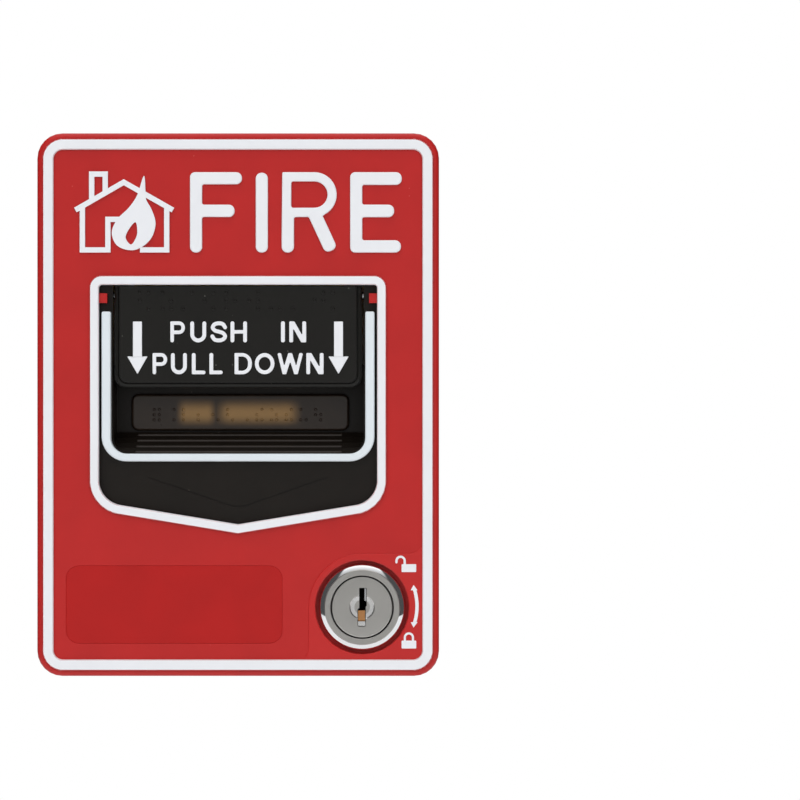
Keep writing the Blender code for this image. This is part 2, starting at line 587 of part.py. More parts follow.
def carrier(cover):
    """The black frame behind the face that guides the handle and holds the works."""
    clear = 0.8 * MM
    tub_half = POCKET_HALF_W + POCKET_WALL + clear
    tub_low = POCKET_BOTTOM_Z - POCKET_WALL - TRAVEL - 0.6 * MM
    switch_half = SWITCH_W / 2 + clear
    switch_low = SWITCH_TOP_Z - SWITCH_H - GAP
    hole = [(-tub_half, CARRIER_TOP_Z - 4 * MM), (-tub_half, tub_low), (-switch_half, tub_low),
            (-switch_half, switch_low), (switch_half, switch_low), (switch_half, tub_low),
            (tub_half, tub_low), (tub_half, CARRIER_TOP_Z - 4 * MM)]
    pawl_half = PAWL_W / 2 + 1.5 * MM
    rim = round_rect(-CARRIER_HALF_W, CARRIER_HALF_W, CARRIER_BOTTOM_Z, CARRIER_TOP_Z, 3 * MM)
    frame = slab("carrier", [rim, hole], CARRIER_BACK_D, CARRIER_FRONT_D, BLACK)
    inner = HANDLE_HALF_W + 0.4 * MM
    for side in (-1, 1):
        xs = sorted((side * inner, side * (inner + RAIL_W)))
        add(frame, block("guide_rail", xs, (WINDOW_CORNER_Z, WINDOW_TOP_Z),
                         (CARRIER_BACK_D + 1 * MM, FACE_BACK_D - 0.4 * MM)))
        xs = sorted((side * (SPRING_X - 3.0 * MM), side * (SPRING_X + 3.0 * MM)))
        add(frame, block("spring_seat", xs, SPRING_SEAT_Z, (SPRING_D - 3 * MM, CARRIER_BACK_D + 1 * MM)))
    cut(frame, block("pawl_slot", (PAWL_X - pawl_half, PAWL_X + pawl_half),
                     (PAWL_PIVOT_Z - 1 * MM, tub_low + 2 * MM),
                     (CARRIER_BACK_D - 1 * MM, CARRIER_FRONT_D + 1 * MM)))
    notch_half = RAMP_W / 2 + 0.4 * MM
    for x, rise in ((PLUNGER_X, PLUNGER_STROKE), (PAWL_X, PAWL_SWING)):
        notch_d = ramp_depth(rise)[1] - 0.4 * MM
        cut(frame, block("ramp_notch", (x - notch_half, x + notch_half),
                         (2 * CARRIER_BOTTOM_Z, PAWL_PIVOT_Z), (notch_d, CARRIER_FRONT_D + 1 * MM)))
    shelf_half = SWITCH_W / 2 + 0.8 * MM
    add(frame, block("switch_shelf", (-shelf_half, shelf_half), (CARRIER_BOTTOM_Z + 0.5 * MM, switch_low),
                     (SWITCH_BACK_D + 1 * MM, CARRIER_BACK_D + 1 * MM)))
    for side in (-1, 1):
        xs = sorted((PAWL_X + side * pawl_half, PAWL_X + side * (pawl_half + 1.5 * MM)))
        add(frame, block("pawl_ear", xs, (PAWL_PIVOT_Z - 2.4 * MM, PAWL_PIVOT_Z + 2.4 * MM),
                         (PAWL_PIVOT_D - 2.2 * MM, CARRIER_BACK_D + 1 * MM)))
    hole_r = PAWL_PIN_R + GAP
    pin_hole = [(0, 10 * MM), (hole_r, 10 * MM), (hole_r, -5.7 * MM), (0, -5.7 * MM)]
    cut(frame, turned("pawl_pin_hole", pin_hole, point(PAWL_X, PAWL_PIVOT_D, PAWL_PIVOT_Z), (-1, 0, 0),
                      steps=SCREW_STEPS))
    for x in (-CARRIER_SCREW_X, CARRIER_SCREW_X):
        for z in CARRIER_SCREW_Z:
            side = "left" if x < 0 else "right"
            level = "lower" if z < 0 else "upper"
            fixing(f"carrier_screw_{level}_{side}", (x, z), frame, CARRIER_BACK_D, 2.7 * MM, 1.7 * MM,
                   1.3 * MM, cover, facing=1, deep=5.4 * MM)
    return frame


def return_springs(frame):
    made = []
    for side, sign in (("left", -1), ("right", 1)):
        base = SPRING_SEAT_Z[1] + GAP + SPRING_WIRE_R
        top = SPRING_TAB_Z[0] - GAP - SPRING_WIRE_R
        x = sign * SPRING_X
        made.append(coil(f"return_spring_{side}", point(x, SPRING_D, base), (0, 0, 1), SPRING_R,
                         SPRING_WIRE_R, SPRING_TURNS, top - base, SPRING_STEEL))
        rod = [(0, GUIDE_TALL), (GUIDE_R - GAP, GUIDE_TALL), (GUIDE_R, GUIDE_TALL - 0.6 * MM),
               (GUIDE_R, -GUIDE_TAIL), (0, -GUIDE_TAIL)]
        made.append(turned(f"spring_guide_{side}", rod, point(x, SPRING_D, SPRING_SEAT_Z[1]), (0, 0, 1),
                           ZINC, SCREW_STEPS))
        bore = [(0, OVER), (GUIDE_R + GAP, OVER), (GUIDE_R + GAP, -OVER), (0, -OVER)]
        cut(frame, turned("guide_hole", bore, point(x, SPRING_D, SPRING_SEAT_Z[0]), (0, 0, 1),
                          steps=SCREW_STEPS))
    return made


def flag(frame):
    thick = 0.9 * MM
    half = PLATE_HALF_W - 3.4 * MM
    front = CARRIER_BACK_D - GAP
    low_z, high_z = WINDOW_TOP_Z - TRAVEL - 0.6 * MM, CARRIER_TOP_Z - GAP
    outline = round_rect(-half, half, low_z, high_z, 1 * MM)
    made = slab("activated_flag", [outline], front - thick, front, YELLOW)
    screws = []
    for side, sign in (("left", -1), ("right", 1)):
        at = (sign * (half - 5 * MM), high_z - 1.8 * MM)
        screws.append(fixing(f"flag_screw_{side}", at, made, front - thick, 1.5 * MM, 1.0 * MM, 0.8 * MM,
                             frame, facing=1, deep=2.6 * MM))
    return [made] + screws


def microswitch(frame):
    low = SWITCH_TOP_Z - SWITCH_H
    half = SWITCH_W / 2
    body = block("microswitch_body", (-half, half), (low, SWITCH_TOP_Z), (SWITCH_BACK_D, SWITCH_FRONT_D),
                 BLACK)
    bore_r = PLUNGER_R + GAP
    cut(body, turned("plunger_bore", [(0, OVER), (bore_r, OVER), (bore_r, -OVER), (0, -OVER)],
                     point(PLUNGER_X, SWITCH_FRONT_D, PLUNGER_Z), (0, -1, 0), steps=SCREW_STEPS))
    made = [body]
    for side, sign in (("left", -1), ("right", 1)):
        x = sign * SWITCH_HOLE_SPACING / 2
        d = SWITCH_FRONT_D - 4 * MM
        head = screw_profile(2.0 * MM, 0.7 * MM, 1.2 * MM, SWITCH_H + 2 * MM)
        made.append(turned(f"switch_screw_{side}", head, point(x, d, SWITCH_TOP_Z - 0.8 * MM), (0, 0, 1),
                           ZINC, SCREW_STEPS))
        bore = [(0, 2 * MM), (2.3 * MM, 2 * MM), (2.3 * MM, -1.1 * MM), (1.5 * MM, -1.1 * MM),
                (1.5 * MM, -SWITCH_H - 3.5 * MM), (0, -SWITCH_H - 3.5 * MM)]
        hole = turned("switch_bore", bore, point(x, d, SWITCH_TOP_Z), (0, 0, 1), steps=SCREW_STEPS)
        cut(body, hole)
        cut(frame, hole)
    for name, x in (("common", -10 * MM), ("open", 0), ("closed", 9 * MM)):
        blade = block(f"switch_blade_{name}", (x - BLADE_T / 2, x + BLADE_T / 2),
                      (PLUNGER_Z - BLADE_W / 2, PLUNGER_Z + BLADE_W / 2),
                      (SWITCH_BACK_D - BLADE_L, SWITCH_BACK_D - GAP), BRASS)
        eye = circle(SWITCH_BACK_D - 4 * MM, PLUNGER_Z, 0.9 * MM, 8)
        made.append(cut(blade, bar("blade_eye", eye, x - OVER, x + OVER)))
    return made


def ramp_depth(rise):
    """Depths of a ramp on the handle's back: at its thin end and at its thick end."""
    thin = HANDLE_BACK_D - RAMP_THIN
    return thin, thin - rise


def plunger():
    tip = ramp_depth(PLUNGER_STROKE)[0] - 0.4 * MM
    long = tip - SWITCH_FRONT_D + 3 * MM
    profile = [(0, 0), (PLUNGER_R * 0.7, -0.3 * MM), (PLUNGER_R, -1.0 * MM), (PLUNGER_R, -long), (0, -long)]
    return turned("switch_plunger", profile, point(PLUNGER_X, tip, PLUNGER_Z), (0, -1, 0), RED, SCREW_STEPS)


def pawl():
    """The lever that the handle's second ramp pushes back as the handle comes down, and its pin."""
    nose_d = ramp_depth(PAWL_SWING)[0] - 0.35 * MM - PAWL_NOSE_R
    outline = (arc(PAWL_PIVOT_D, PAWL_PIVOT_Z, PAWL_HUB_R, 155, 335, 8)
               + arc(nose_d, PAWL_NOSE_Z, PAWL_NOSE_R, -25, 155, 6))
    lever = bar("latch_pawl", outline, PAWL_X - PAWL_W / 2, PAWL_X + PAWL_W / 2, ZINC)
    at = point(PAWL_X, PAWL_PIVOT_D, PAWL_PIVOT_Z)
    bore_r = PAWL_PIN_R + GAP
    cut(lever, turned("pawl_bore", [(0, OVER), (bore_r, OVER), (bore_r, -OVER), (0, -OVER)], at, (1, 0, 0),
                      steps=SCREW_STEPS))
    long, short = 5.6 * MM, 5.3 * MM
    pin = turned("pawl_pin", [(0, long), (PAWL_PIN_R, long), (PAWL_PIN_R, -short), (0, -short)], at,
                 (-1, 0, 0), SPRING_STEEL, SCREW_STEPS)
    return lever, pin


def lock_pieces():
    """The fixed half of the lock: barrel with its flange, and the nut behind the face."""
    flange_back = LOCK_SEAT_D + GAP
    bore = PLUG_R + PLUG_CLEAR
    front = FACE_D + 0.1 * MM
    profile = [(bore, front), (LOCK_RING_R, front), (LOCK_FLANGE_R, front - 0.9 * MM),
               (LOCK_FLANGE_R, flange_back), (LOCK_BARREL_R, flange_back),
               (LOCK_BARREL_R, LOCK_BARREL_BACK_D), (bore, LOCK_BARREL_BACK_D)]
    at = point(LOCK_X, 0, LOCK_Z)
    body = turned("lock_body", profile, at, (0, -1, 0), CHROME, 28)
    flats = NUT_FLATS / 2 / math.cos(math.pi / 6)
    nut_front = LOCK_BOSS_BACK_D - GAP
    nut_hole = circle(LOCK_X, LOCK_Z, LOCK_BARREL_R + BORE_CLEAR, 24)
    nut = slab("lock_nut", [circle(LOCK_X, LOCK_Z, flats, 6), nut_hole], nut_front - NUT_T, nut_front, ZINC)
    return [body, nut]


def lock_plug():
    back = LOCK_BARREL_BACK_D + 0.2 * MM
    front = FACE_D - 0.1 * MM
    at = point(LOCK_X, 0, LOCK_Z)
    dish = 3.2 * MM
    profile = [(0, front - 0.5 * MM), (dish * 0.8, front - 0.5 * MM), (dish, front),
               (PLUG_R - 0.3 * MM, front), (PLUG_R, front - 0.3 * MM), (PLUG_R, back), (0, back)]
    plug = turned("lock_plug", profile, at, (0, -1, 0), NICKEL, 24)
    cut(plug, block("keyway", (LOCK_X - KEYWAY_W / 2, LOCK_X + KEYWAY_W / 2),
                    (LOCK_Z - KEYWAY_H / 2, LOCK_Z + KEYWAY_H / 2), (front - KEYWAY_DEEP, front + 5 * MM)))
    half = CAM_W / 2
    tip_z = LOCK_Z + CAM_REACH
    outline = arc(LOCK_X, LOCK_Z, half, 180, 360, 10) + [(LOCK_X + half, tip_z), (LOCK_X - half, tip_z)]
    cam = slab("lock_cam", [outline], CAM_BACK_D, CAM_FRONT_D, ZINC)
    screw = fixing("cam_screw", (LOCK_X, LOCK_Z), cam, CAM_BACK_D, 3.0 * MM, 1.7 * MM, 1.5 * MM, plug,
                   facing=1, deep=4.6 * MM)
    return [plug, cam, screw]


# ---- handle -------------------------------------------------------------------------------------
def handle_body():
    r = TRIM_R - TRIM_W
    opening = plate_outline(POCKET_HALF_W, POCKET_BOTTOM_Z, WINDOW_TOP_Z + 0.2 * MM, r)
    body = slab("handle_body", [window_outline(HANDLE_LAP), opening], HANDLE_BACK_D, HANDLE_FRONT_D, BLACK)
    out = POCKET_HALF_W + POCKET_WALL
    low, high = POCKET_BOTTOM_Z, POCKET_TOP_Z
    tub = slab("pocket_tub", [round_rect(-out, out, low - POCKET_WALL, high + POCKET_WALL, r + POCKET_WALL)],
               TUB_BACK_D, HANDLE_BACK_D + 1 * MM)
    hollow = slab("pocket_hollow", [round_rect(-POCKET_HALF_W, POCKET_HALF_W, low, high, r)], POCKET_FLOOR_D,
                  FACE_D + OVER)
    add(body, tub)
    cut(body, hollow, slab("push_clearance", [opening], HANDLE_BACK_D - PUSH_CLEAR, FACE_D + OVER))
    run = HANDLE_FRONT_D - 0.4 * MM - POCKET_FLOOR_D
    drop = RIB_TOP_Z - POCKET_BOTTOM_Z
    steps = []
    for i in range(RIB_COUNT):
        z = RIB_TOP_Z - drop * i / RIB_COUNT
        d = POCKET_FLOOR_D + run * i / RIB_COUNT
        steps += [(d, z), (d + run * 0.55 / RIB_COUNT, z)]
    ledge = [(TUB_BACK_D + 0.5 * MM, RIB_TOP_Z)] + steps + [
        (POCKET_FLOOR_D + run, POCKET_BOTTOM_Z), (POCKET_FLOOR_D + run, POCKET_BOTTOM_Z - 1 * MM),
        (TUB_BACK_D + 0.5 * MM, POCKET_BOTTOM_Z - 1 * MM)]
    add(body, bar("grip_ledge", ledge, -POCKET_HALF_W - 0.5 * MM, POCKET_HALF_W + 0.5 * MM))
    for side in (-1, 1):
        xs = sorted((side * (POCKET_HALF_W + 0.2 * MM), side * (POCKET_HALF_W + 1.7 * MM)))
        add(body, block("pivot_ear", xs, (PIVOT_Z - 2.2 * MM, PIVOT_Z + 2.2 * MM),
                        (PIVOT_D - 2.2 * MM, HANDLE_BACK_D + 1 * MM)))
        xs = sorted((side * (POCKET_HALF_W + 0.6 * MM), side * (SPRING_X + 2.9 * MM)))
        add(body, block("spring_tab", xs, SPRING_TAB_Z, (SPRING_D - 2.8 * MM, SPRING_D + 2.6 * MM)))
    cut(body, turned("pivot_bore", [(0, 50 * MM), (1.3 * MM, 50 * MM), (1.3 * MM, -50 * MM), (0, -50 * MM)],
                     point(0, PIVOT_D, PIVOT_Z), (1, 0, 0), steps=SCREW_STEPS))
    for x, z, rise in ((PLUNGER_X, PLUNGER_Z, PLUNGER_STROKE), (PAWL_X, PAWL_NOSE_Z, PAWL_SWING)):
        thin, thick = ramp_depth(rise)
        low = z - 1.2 * MM
        high = z + TRAVEL + 0.8 * MM
        slope = (thick - thin) / TRAVEL
        ramp = [(HANDLE_BACK_D + 0.5 * MM, low), (thin + slope * (low - z), low),
                (thin + slope * (high - z), high), (HANDLE_BACK_D + 0.5 * MM, high)]
        add(body, bar("ramp", ramp, x - RAMP_W / 2, x + RAMP_W / 2))
    return body


def handle_trim():
    out, inn = TRIM_HALF_W, TRIM_HALF_W - TRIM_W
    bottom = TRIM_BOTTOM_Z
    inner_r = TRIM_R - TRIM_W
    right_out = arc(out - TRIM_R, bottom + TRIM_R, TRIM_R, 270, 360)
    right_in = arc(inn - inner_r, bottom + TRIM_BOTTOM_H + inner_r, inner_r, 270, 360)
    outer = [(-x, z) for x, z in reversed(right_out)] + right_out
    inner = [(-x, z) for x, z in reversed(right_in)] + right_in
    top = TRIM_TOP_Z
    outline = [(-out, top)] + outer + [(out, top), (inn, top)] + inner[::-1] + [(-inn, top)]
    back = HANDLE_FRONT_D + GAP
    return slab("handle_trim", [outline], back, back + TRIM_T, WHITE)


def amber_window():
    half = POCKET_HALF_W - 3.9 * MM
    low = POCKET_FLOOR_D + GAP
    return slab("amber_window", [round_rect(-half, half, RIB_TOP_Z + 0.8 * MM, 1.2 * MM, 1.2 * MM)], low,
                low + 1.0 * MM, AMBER)


def pivot_pin():
    half = POCKET_HALF_W + 1.7 * MM
    return turned("push_pivot_pin", [(0, half), (0.8 * MM, half), (1.0 * MM, half - 0.3 * MM),
                                     (1.0 * MM, -half), (0, -half)], point(0, PIVOT_D, PIVOT_Z), (1, 0, 0),
                  SPRING_STEEL, SCREW_STEPS)


# ---- push plate ---------------------------------------------------------------------------------
def push_plate():
    half, base = PLATE_HALF_W, PLATE_BASE_HALF_W
    base_bottom = PLATE_BOTTOM_Z - PLATE_FLARE
    face = slab("push_plate", [plate_outline(half, PLATE_BOTTOM_Z, PLATE_TOP_Z)],
                PLATE_BASE_FRONT_D - 0.4 * MM, PLATE_FRONT_D, BLACK)
    add(face, slab("plate_base", [plate_outline(base, base_bottom, PLATE_TOP_Z - 0.2 * MM)],
                   PLATE_BASE_BACK_D, PLATE_BASE_FRONT_D))
    for side in (-1, 1):
        xs = sorted((side * (PLATE_HALF_W - 2.9 * MM), side * (PLATE_HALF_W - 0.4 * MM)))
        add(face, block("pivot_arm", xs, (PIVOT_Z - 2.0 * MM, PIVOT_Z + 2.0 * MM),
                        (PIVOT_D - 2.0 * MM, PLATE_BASE_BACK_D + 0.5 * MM)))
    cut(face, turned("arm_bore", [(0, 50 * MM), (1.3 * MM, 50 * MM), (1.3 * MM, -50 * MM), (0, -50 * MM)],
                     point(0, PIVOT_D, PIVOT_Z), (1, 0, 0), steps=SCREW_STEPS))
    spring = coil("plate_spring", point(-4 * MM, PIVOT_D, PIVOT_Z), (1, 0, 0), 1.65 * MM, 0.25 * MM, 4,
                  8 * MM, SPRING_STEEL)
    return [face, spring]


# ---- assembly -----------------------------------------------------------------------------------
def build():
    for old in list(bpy.data.objects):
        bpy.data.objects.remove(old)
    for group in (MODEL, HELPERS):
        bpy.context.scene.collection.children.link(group)
    plate = wall_plate()
    cover_leaves = [hinge("upper", HINGE_SPAN / 2, plate), hinge("lower", -HINGE_SPAN / 2, plate)]
    terminals(plate)
    strike(plate)
    fixing("ground_screw", (-30 * MM, -20 * MM), plate, BACK_T, 2.9 * MM, 1.8 * MM, 1.4 * MM, look=GREEN,
           deep=1.9 * MM)

    cover = front_cover()
    frame = carrier(cover)
    on_cover = [cover, frame] + cover_leaves + flag(frame) + microswitch(frame)
    on_cover += return_springs(frame) + lock_pieces()
    on_cover += [piece for piece in MODEL.objects if piece.name.startswith("carrier_screw")]
    plug = joint("lock_axis", point(LOCK_X, 0, LOCK_Z), lock_plug())
    push = joint("push_axis", point(0, PIVOT_D, PIVOT_Z), push_plate())
    pull = joint("pull_axis", point(0, HANDLE_BACK_D, 0),
                 [handle_body(), handle_trim(), amber_window(), pivot_pin(), push])
    press = joint("plunger_axis", point(PLUNGER_X, SWITCH_FRONT_D, PLUNGER_Z), [plunger()])
    lever, pin = pawl()
    swing = joint("pawl_axis", point(PAWL_X, PAWL_PIVOT_D, PAWL_PIVOT_Z), [lever])
    joint("cover_axis", point(HINGE_X, HINGE_D, 0), on_cover + [pin, plug, pull, press, swing])


build()
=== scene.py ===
import math
import random

import bmesh
import bpy
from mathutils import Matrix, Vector


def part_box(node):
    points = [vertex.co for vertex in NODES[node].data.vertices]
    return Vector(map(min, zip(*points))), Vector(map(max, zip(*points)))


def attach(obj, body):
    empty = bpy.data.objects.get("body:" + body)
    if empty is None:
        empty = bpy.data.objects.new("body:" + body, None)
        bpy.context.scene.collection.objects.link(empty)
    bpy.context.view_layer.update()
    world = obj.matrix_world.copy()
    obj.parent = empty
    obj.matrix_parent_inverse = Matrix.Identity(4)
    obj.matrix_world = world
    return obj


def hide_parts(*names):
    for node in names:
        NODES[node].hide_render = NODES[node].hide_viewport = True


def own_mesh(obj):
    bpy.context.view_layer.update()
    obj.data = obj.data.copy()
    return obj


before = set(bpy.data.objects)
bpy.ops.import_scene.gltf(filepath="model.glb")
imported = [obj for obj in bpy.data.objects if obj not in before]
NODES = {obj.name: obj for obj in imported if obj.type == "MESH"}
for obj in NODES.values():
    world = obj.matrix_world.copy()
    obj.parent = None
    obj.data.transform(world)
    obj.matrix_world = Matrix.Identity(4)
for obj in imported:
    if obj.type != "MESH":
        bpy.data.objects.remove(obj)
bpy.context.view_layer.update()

MM = 0.001
FINE = 1e-7                     # two points closer than this are one

# ---- sizes that the pieces share ------------------------------------------------------------------
COVER_LOW, COVER_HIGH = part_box("front_cover")
BAND_D = -COVER_LOW.y           # tops of the white bands
FACE_D = BAND_D - 0.9 * MM
BORDER_X, BORDER_Z = COVER_HIGH.x - 4.2 * MM, COVER_HIGH.z - 4.2 * MM
BORDER_R = 2.6 * MM
BORDER_W = 2.6 * MM
WINDOW_X, WINDOW_TOP = 36.1 * MM, 31.1 * MM
WINDOW_R, WINDOW_LOW_R, WINDOW_LOW_Z = 0.9 * MM, 6.7 * MM, -19.5 * MM
WINDOW_SLOPE = math.radians(9.3)
WINDOW_W = 2.2 * MM
LETTER_D = FACE_D + 0.8 * MM
LOCK_X, LOCK_Z = 32.1 * MM, -52.4 * MM
PLATE_LOW, PLATE_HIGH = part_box("push_plate")
PLATE_D = -PLATE_LOW.y


# ---- which way an outline's (u, v) and its height w run --------------------------------------------
def front(u, v, w):
    return (u, -w, v)


def side(u, v, w):
    return (w, -u, v)


def upward(u, v, w):
    return (u, -v, w)


# ---- outlines, anticlockwise --------------------------------------------------------------------------
def arc(cu, cv, radius, start, end, steps=8):
    turns = [math.radians(start + (end - start) * i / steps) for i in range(steps + 1)]
    return [(cu + radius * math.cos(a), cv + radius * math.sin(a)) for a in turns]


def circle(cu, cv, radius, steps=48):
    return arc(cu, cv, radius, 0, 360, steps)[:-1]


def round_rect(u0, u1, v0, v1, radius, steps=8, top=None):
    """A rectangle with round corners, with another radius for the two upper ones if one is given."""
    top = top or radius
    corners = ((u1 - top, v1 - top, top, 0), (u0 + top, v1 - top, top, 90),
               (u0 + radius, v0 + radius, radius, 180), (u1 - radius, v0 + radius, radius, 270))
    return [p for cu, cv, r, start in corners for p in arc(cu, cv, r, start, start + 90, steps)]


def border(grow):
    x, z = BORDER_X + grow, BORDER_Z + grow
    return round_rect(-x, x, -z, z, BORDER_R + grow, 12)


def window(grow):
    half, top = WINDOW_X + grow, WINDOW_TOP + grow
    top_r, low_r = WINDOW_R + grow, WINDOW_LOW_R + grow
    cx = WINDOW_X - WINDOW_LOW_R
    slope = math.degrees(WINDOW_SLOPE)
    tip = WINDOW_LOW_Z - (low_r + cx * math.sin(WINDOW_SLOPE)) / math.cos(WINDOW_SLOPE)
    right = arc(cx, WINDOW_LOW_Z, low_r, slope - 90, 0, 14)
    right += arc(half - top_r, top - top_r, top_r, 0, 90, 8)
    return [(0.0, tip)] + right + [(-x, z) for x, z in reversed(right)]


def softened(corners, steps=6, closed=True):
    """An outline or a path from (u, v, radius) corners, each rounded off by its radius."""
    made = []
    count = len(corners)
    for i, (u, v, radius) in enumerate(corners):
        here = Vector((u, v))
        if radius <= 0 or (not closed and i in (0, count - 1)):
            made.append((u, v))
            continue
        before = (Vector(corners[i - 1][:2]) - here).normalized()
        after = (Vector(corners[(i + 1) % count][:2]) - here).normalized()
        half = before.angle(after) / 2
        reach = radius / math.tan(half)
        centre = here + (before + after).normalized() * radius / math.sin(half)
        start = here + before * reach - centre
        sweep = start.angle_signed(here + after * reach - centre)
        for k in range(steps + 1):
            turn = -sweep * k / steps
            c, s = math.cos(turn), math.sin(turn)
            made.append((centre.x + start.x * c - start.y * s, centre.y + start.x * s + start.y * c))
    return made


def flowing(points, per=5, closed=True):
    """A smooth curve through points."""
    count = len(points)
    made = []
    for i in range(count if closed else count - 1):
        picks = [i - 1, i, i + 1, i + 2]
        picks = [k % count if closed else min(max(k, 0), count - 1) for k in picks]
        a, b, c, d = (Vector(points[k]) for k in picks)
        for k in range(per):
            t = k / per
            p = 0.5 * (2 * b + (c - a) * t + (2 * a - 5 * b + 4 * c - d) * t * t
                       + (3 * b - a - 3 * c + d) * t ** 3)
            made.append((p.x, p.y))
    if not closed:
        made.append(tuple(points[-1]))
    return made


def area(outline):
    return sum(a[0] * b[1] - b[0] * a[1] for a, b in zip(outline, outline[1:] + outline[:1])) / 2


def turned_left(outline):
    return outline if area(outline) > 0 else outline[::-1]


def hole(outline):
    return turned_left(outline)[::-1]


def inset(outline, distance):
    """The outline moved towards its left side, which is where the material is."""
    made = []
    for i, here in enumerate(outline):
        p = Vector(here)
        before = (p - Vector(outline[i - 1])).normalized()
        after = (Vector(outline[(i + 1) % len(outline)]) - p).normalized()
        left = Vector((-before.y - after.y, before.x + after.x))
        left = left.normalized() if left.length > FINE else Vector((-before.y, before.x))
        reach = distance / max(0.35, left.dot(Vector((-before.y, before.x))))
        made.append((p.x + left.x * reach, p.y + left.y * reach))
    return made


def stroke(path, width, ends=6):
    """The outline of a line with round ends."""
    half = width / 2
    points = [Vector(p) for p in path]
    sides = ([], [])
    for i, p in enumerate(points):
        before = (p - points[i - 1]).normalized() if i else (points[1] - p).normalized()
        after = (points[i + 1] - p).normalized() if i < len(points) - 1 else before
        left = Vector((-before.y - after.y, before.x + after.x)).normalized()
        reach = half / max(0.5, left.dot(Vector((-before.y, before.x))))
        sides[0].append((p.x + left.x * reach, p.y + left.y * reach))
        sides[1].append((p.x - left.x * reach, p.y - left.y * reach))
    out = points[-1] - points[-2]
    back = points[0] - points[1]
    end_turn = math.degrees(math.atan2(out.y, out.x))
    start_turn = math.degrees(math.atan2(back.y, back.x))
    end_cap = arc(points[-1].x, points[-1].y, half, end_turn - 90, end_turn + 90, ends)
    start_cap = arc(points[0].x, points[0].y, half, start_turn - 90, start_turn + 90, ends)
    return turned_left(sides[1][:-1][1:] + end_cap + sides[0][::-1][1:-1] + start_cap)


# ---- making pieces ----------------------------------------------------------------------------------
def activate(thing):
    bpy.ops.object.select_all(action="DESELECT")
    thing.select_set(True)
    bpy.context.view_layer.objects.active = thing


def lofted(name, loops, caps=(True, True), closed=False):
    """A piece from one primitive circle, extruded from each loop of points to the next."""
    bpy.ops.object.select_all(action="DESELECT")
    bpy.ops.mesh.primitive_circle_add(vertices=len(loops[0]), radius=1)
    thing = bpy.context.object
    thing.name = name
    for vertex, co in zip(thing.data.vertices, loops[0]):
        vertex.co = co
    bpy.ops.object.mode_set(mode="EDIT")
    bpy.ops.mesh.select_all(action="SELECT")
    first = order = [tuple(v.co) for v in bmesh.from_edit_mesh(thing.data).verts]
    for loop in loops[1:]:
        bpy.ops.mesh.extrude_region()
        shape = bmesh.from_edit_mesh(thing.data)
        fresh = {tuple(v.co): v for v in shape.verts if v.select}
        moved = [fresh[co] for co in order]
        for vertex, co in zip(moved, loop):
            vertex.co = co
        order = [tuple(v.co) for v in moved]
        bmesh.update_edit_mesh(thing.data)
    if not closed:
        for wanted, rim in zip(caps, (first, order)):
            if wanted:
                pick(thing, lambda co, rim=set(rim): co in rim)
                bpy.ops.mesh.edge_face_add()
    bpy.ops.mesh.select_all(action="SELECT")
    bpy.ops.mesh.remove_doubles(threshold=FINE)
    bpy.ops.mesh.normals_make_consistent(inside=False)
    bpy.ops.object.mode_set(mode="OBJECT")
    return thing


def pick(thing, wanted):
    """In edit mode, selects the vertices whose place passes the test, and the edges between them."""
    bpy.ops.mesh.select_mode(type="VERT")
    bpy.ops.mesh.select_all(action="DESELECT")
    shape = bmesh.from_edit_mesh(thing.data)
    for vertex in shape.verts:
        vertex.select = wanted(tuple(vertex.co))
    shape.select_flush(True)
    bmesh.update_edit_mesh(thing.data)


def edge_loops(outline, low, high, edge, steps, both=False):
    """The (outline, height) loops of a wall between two heights with its top edge rounded."""
    loops = [(outline, low)]
    if both:
        turns = [math.pi / 2 * k / steps for k in range(steps + 1)]
        loops = [(inset(outline, edge * (1 - math.sin(a))), low + edge * (1 - math.cos(a)))
                 for a in turns]
    for k in range(steps + 1):
        a = math.pi / 2 * k / steps
        loops.append((inset(outline, edge * (1 - math.cos(a))), high - edge * (1 - math.sin(a))))
    return loops


def raised(name, outlines, low, high, edge, facing=front, steps=3, both=False):
    """A piece with a flat top and rounded top edges: the first outline is its rim, the rest are holes."""
    parts = []
    for i, outline in enumerate(outlines):
        outline = hole(outline) if i else turned_left(outline)
        loops = [[facing(u, v, w) for u, v in points]
                 for points, w in edge_loops(outline, low, high, edge, steps, both)]
        parts.append(lofted(name, loops, caps=(len(outlines) == 1,) * 2))
    if len(parts) > 1:
        activate(parts[0])
        for part in parts[1:]:
            part.select_set(True)
        bpy.ops.object.join()
        thing = parts[0]
        bpy.ops.object.mode_set(mode="EDIT")
        for height in (low, high):
            pick(thing, lambda co, h=height: abs(Vector(co).dot(facing(0, 0, 1)) - h) < FINE)
            bpy.ops.mesh.fill(use_beauty=True)
        bpy.ops.mesh.select_all(action="SELECT")
        bpy.ops.mesh.normals_make_consistent(inside=False)
        bpy.ops.object.mode_set(mode="OBJECT")
    return parts[0]


def revolved(name, profile, centre, facing=front, segments=64, closed=False, phase=0.0):
    """A turned piece: (radius, height) down its profile."""
    cu, cv = centre
    loops = []
    for radius, w in profile:
        turns = [phase + 2 * math.pi * k / segments for k in range(segments)]
        loops.append([facing(cu + radius * math.cos(a), cv + radius * math.sin(a), w) for a in turns])
    if closed:
        loops.append(loops[0])
    return lofted(name, loops, closed=closed)


def apply_all(thing):
    activate(thing)
    for step in list(thing.modifiers):
        bpy.ops.object.modifier_apply(modifier=step.name)


def boolean(thing, other, operation="DIFFERENCE"):
    step = thing.modifiers.new("cut", "BOOLEAN")
    step.operation = operation
    step.solver = "EXACT"
    step.object = other
    apply_all(thing)
    bpy.data.objects.remove(other)
    return thing


def bevelled(thing, width, segments=2, angle=35):
    step = thing.modifiers.new("edges", "BEVEL")
    step.width = width
    step.segments = segments
    step.limit_method = "ANGLE"
    step.angle_limit = math.radians(angle)
    step.use_clamp_overlap = True
    apply_all(thing)
    return thing


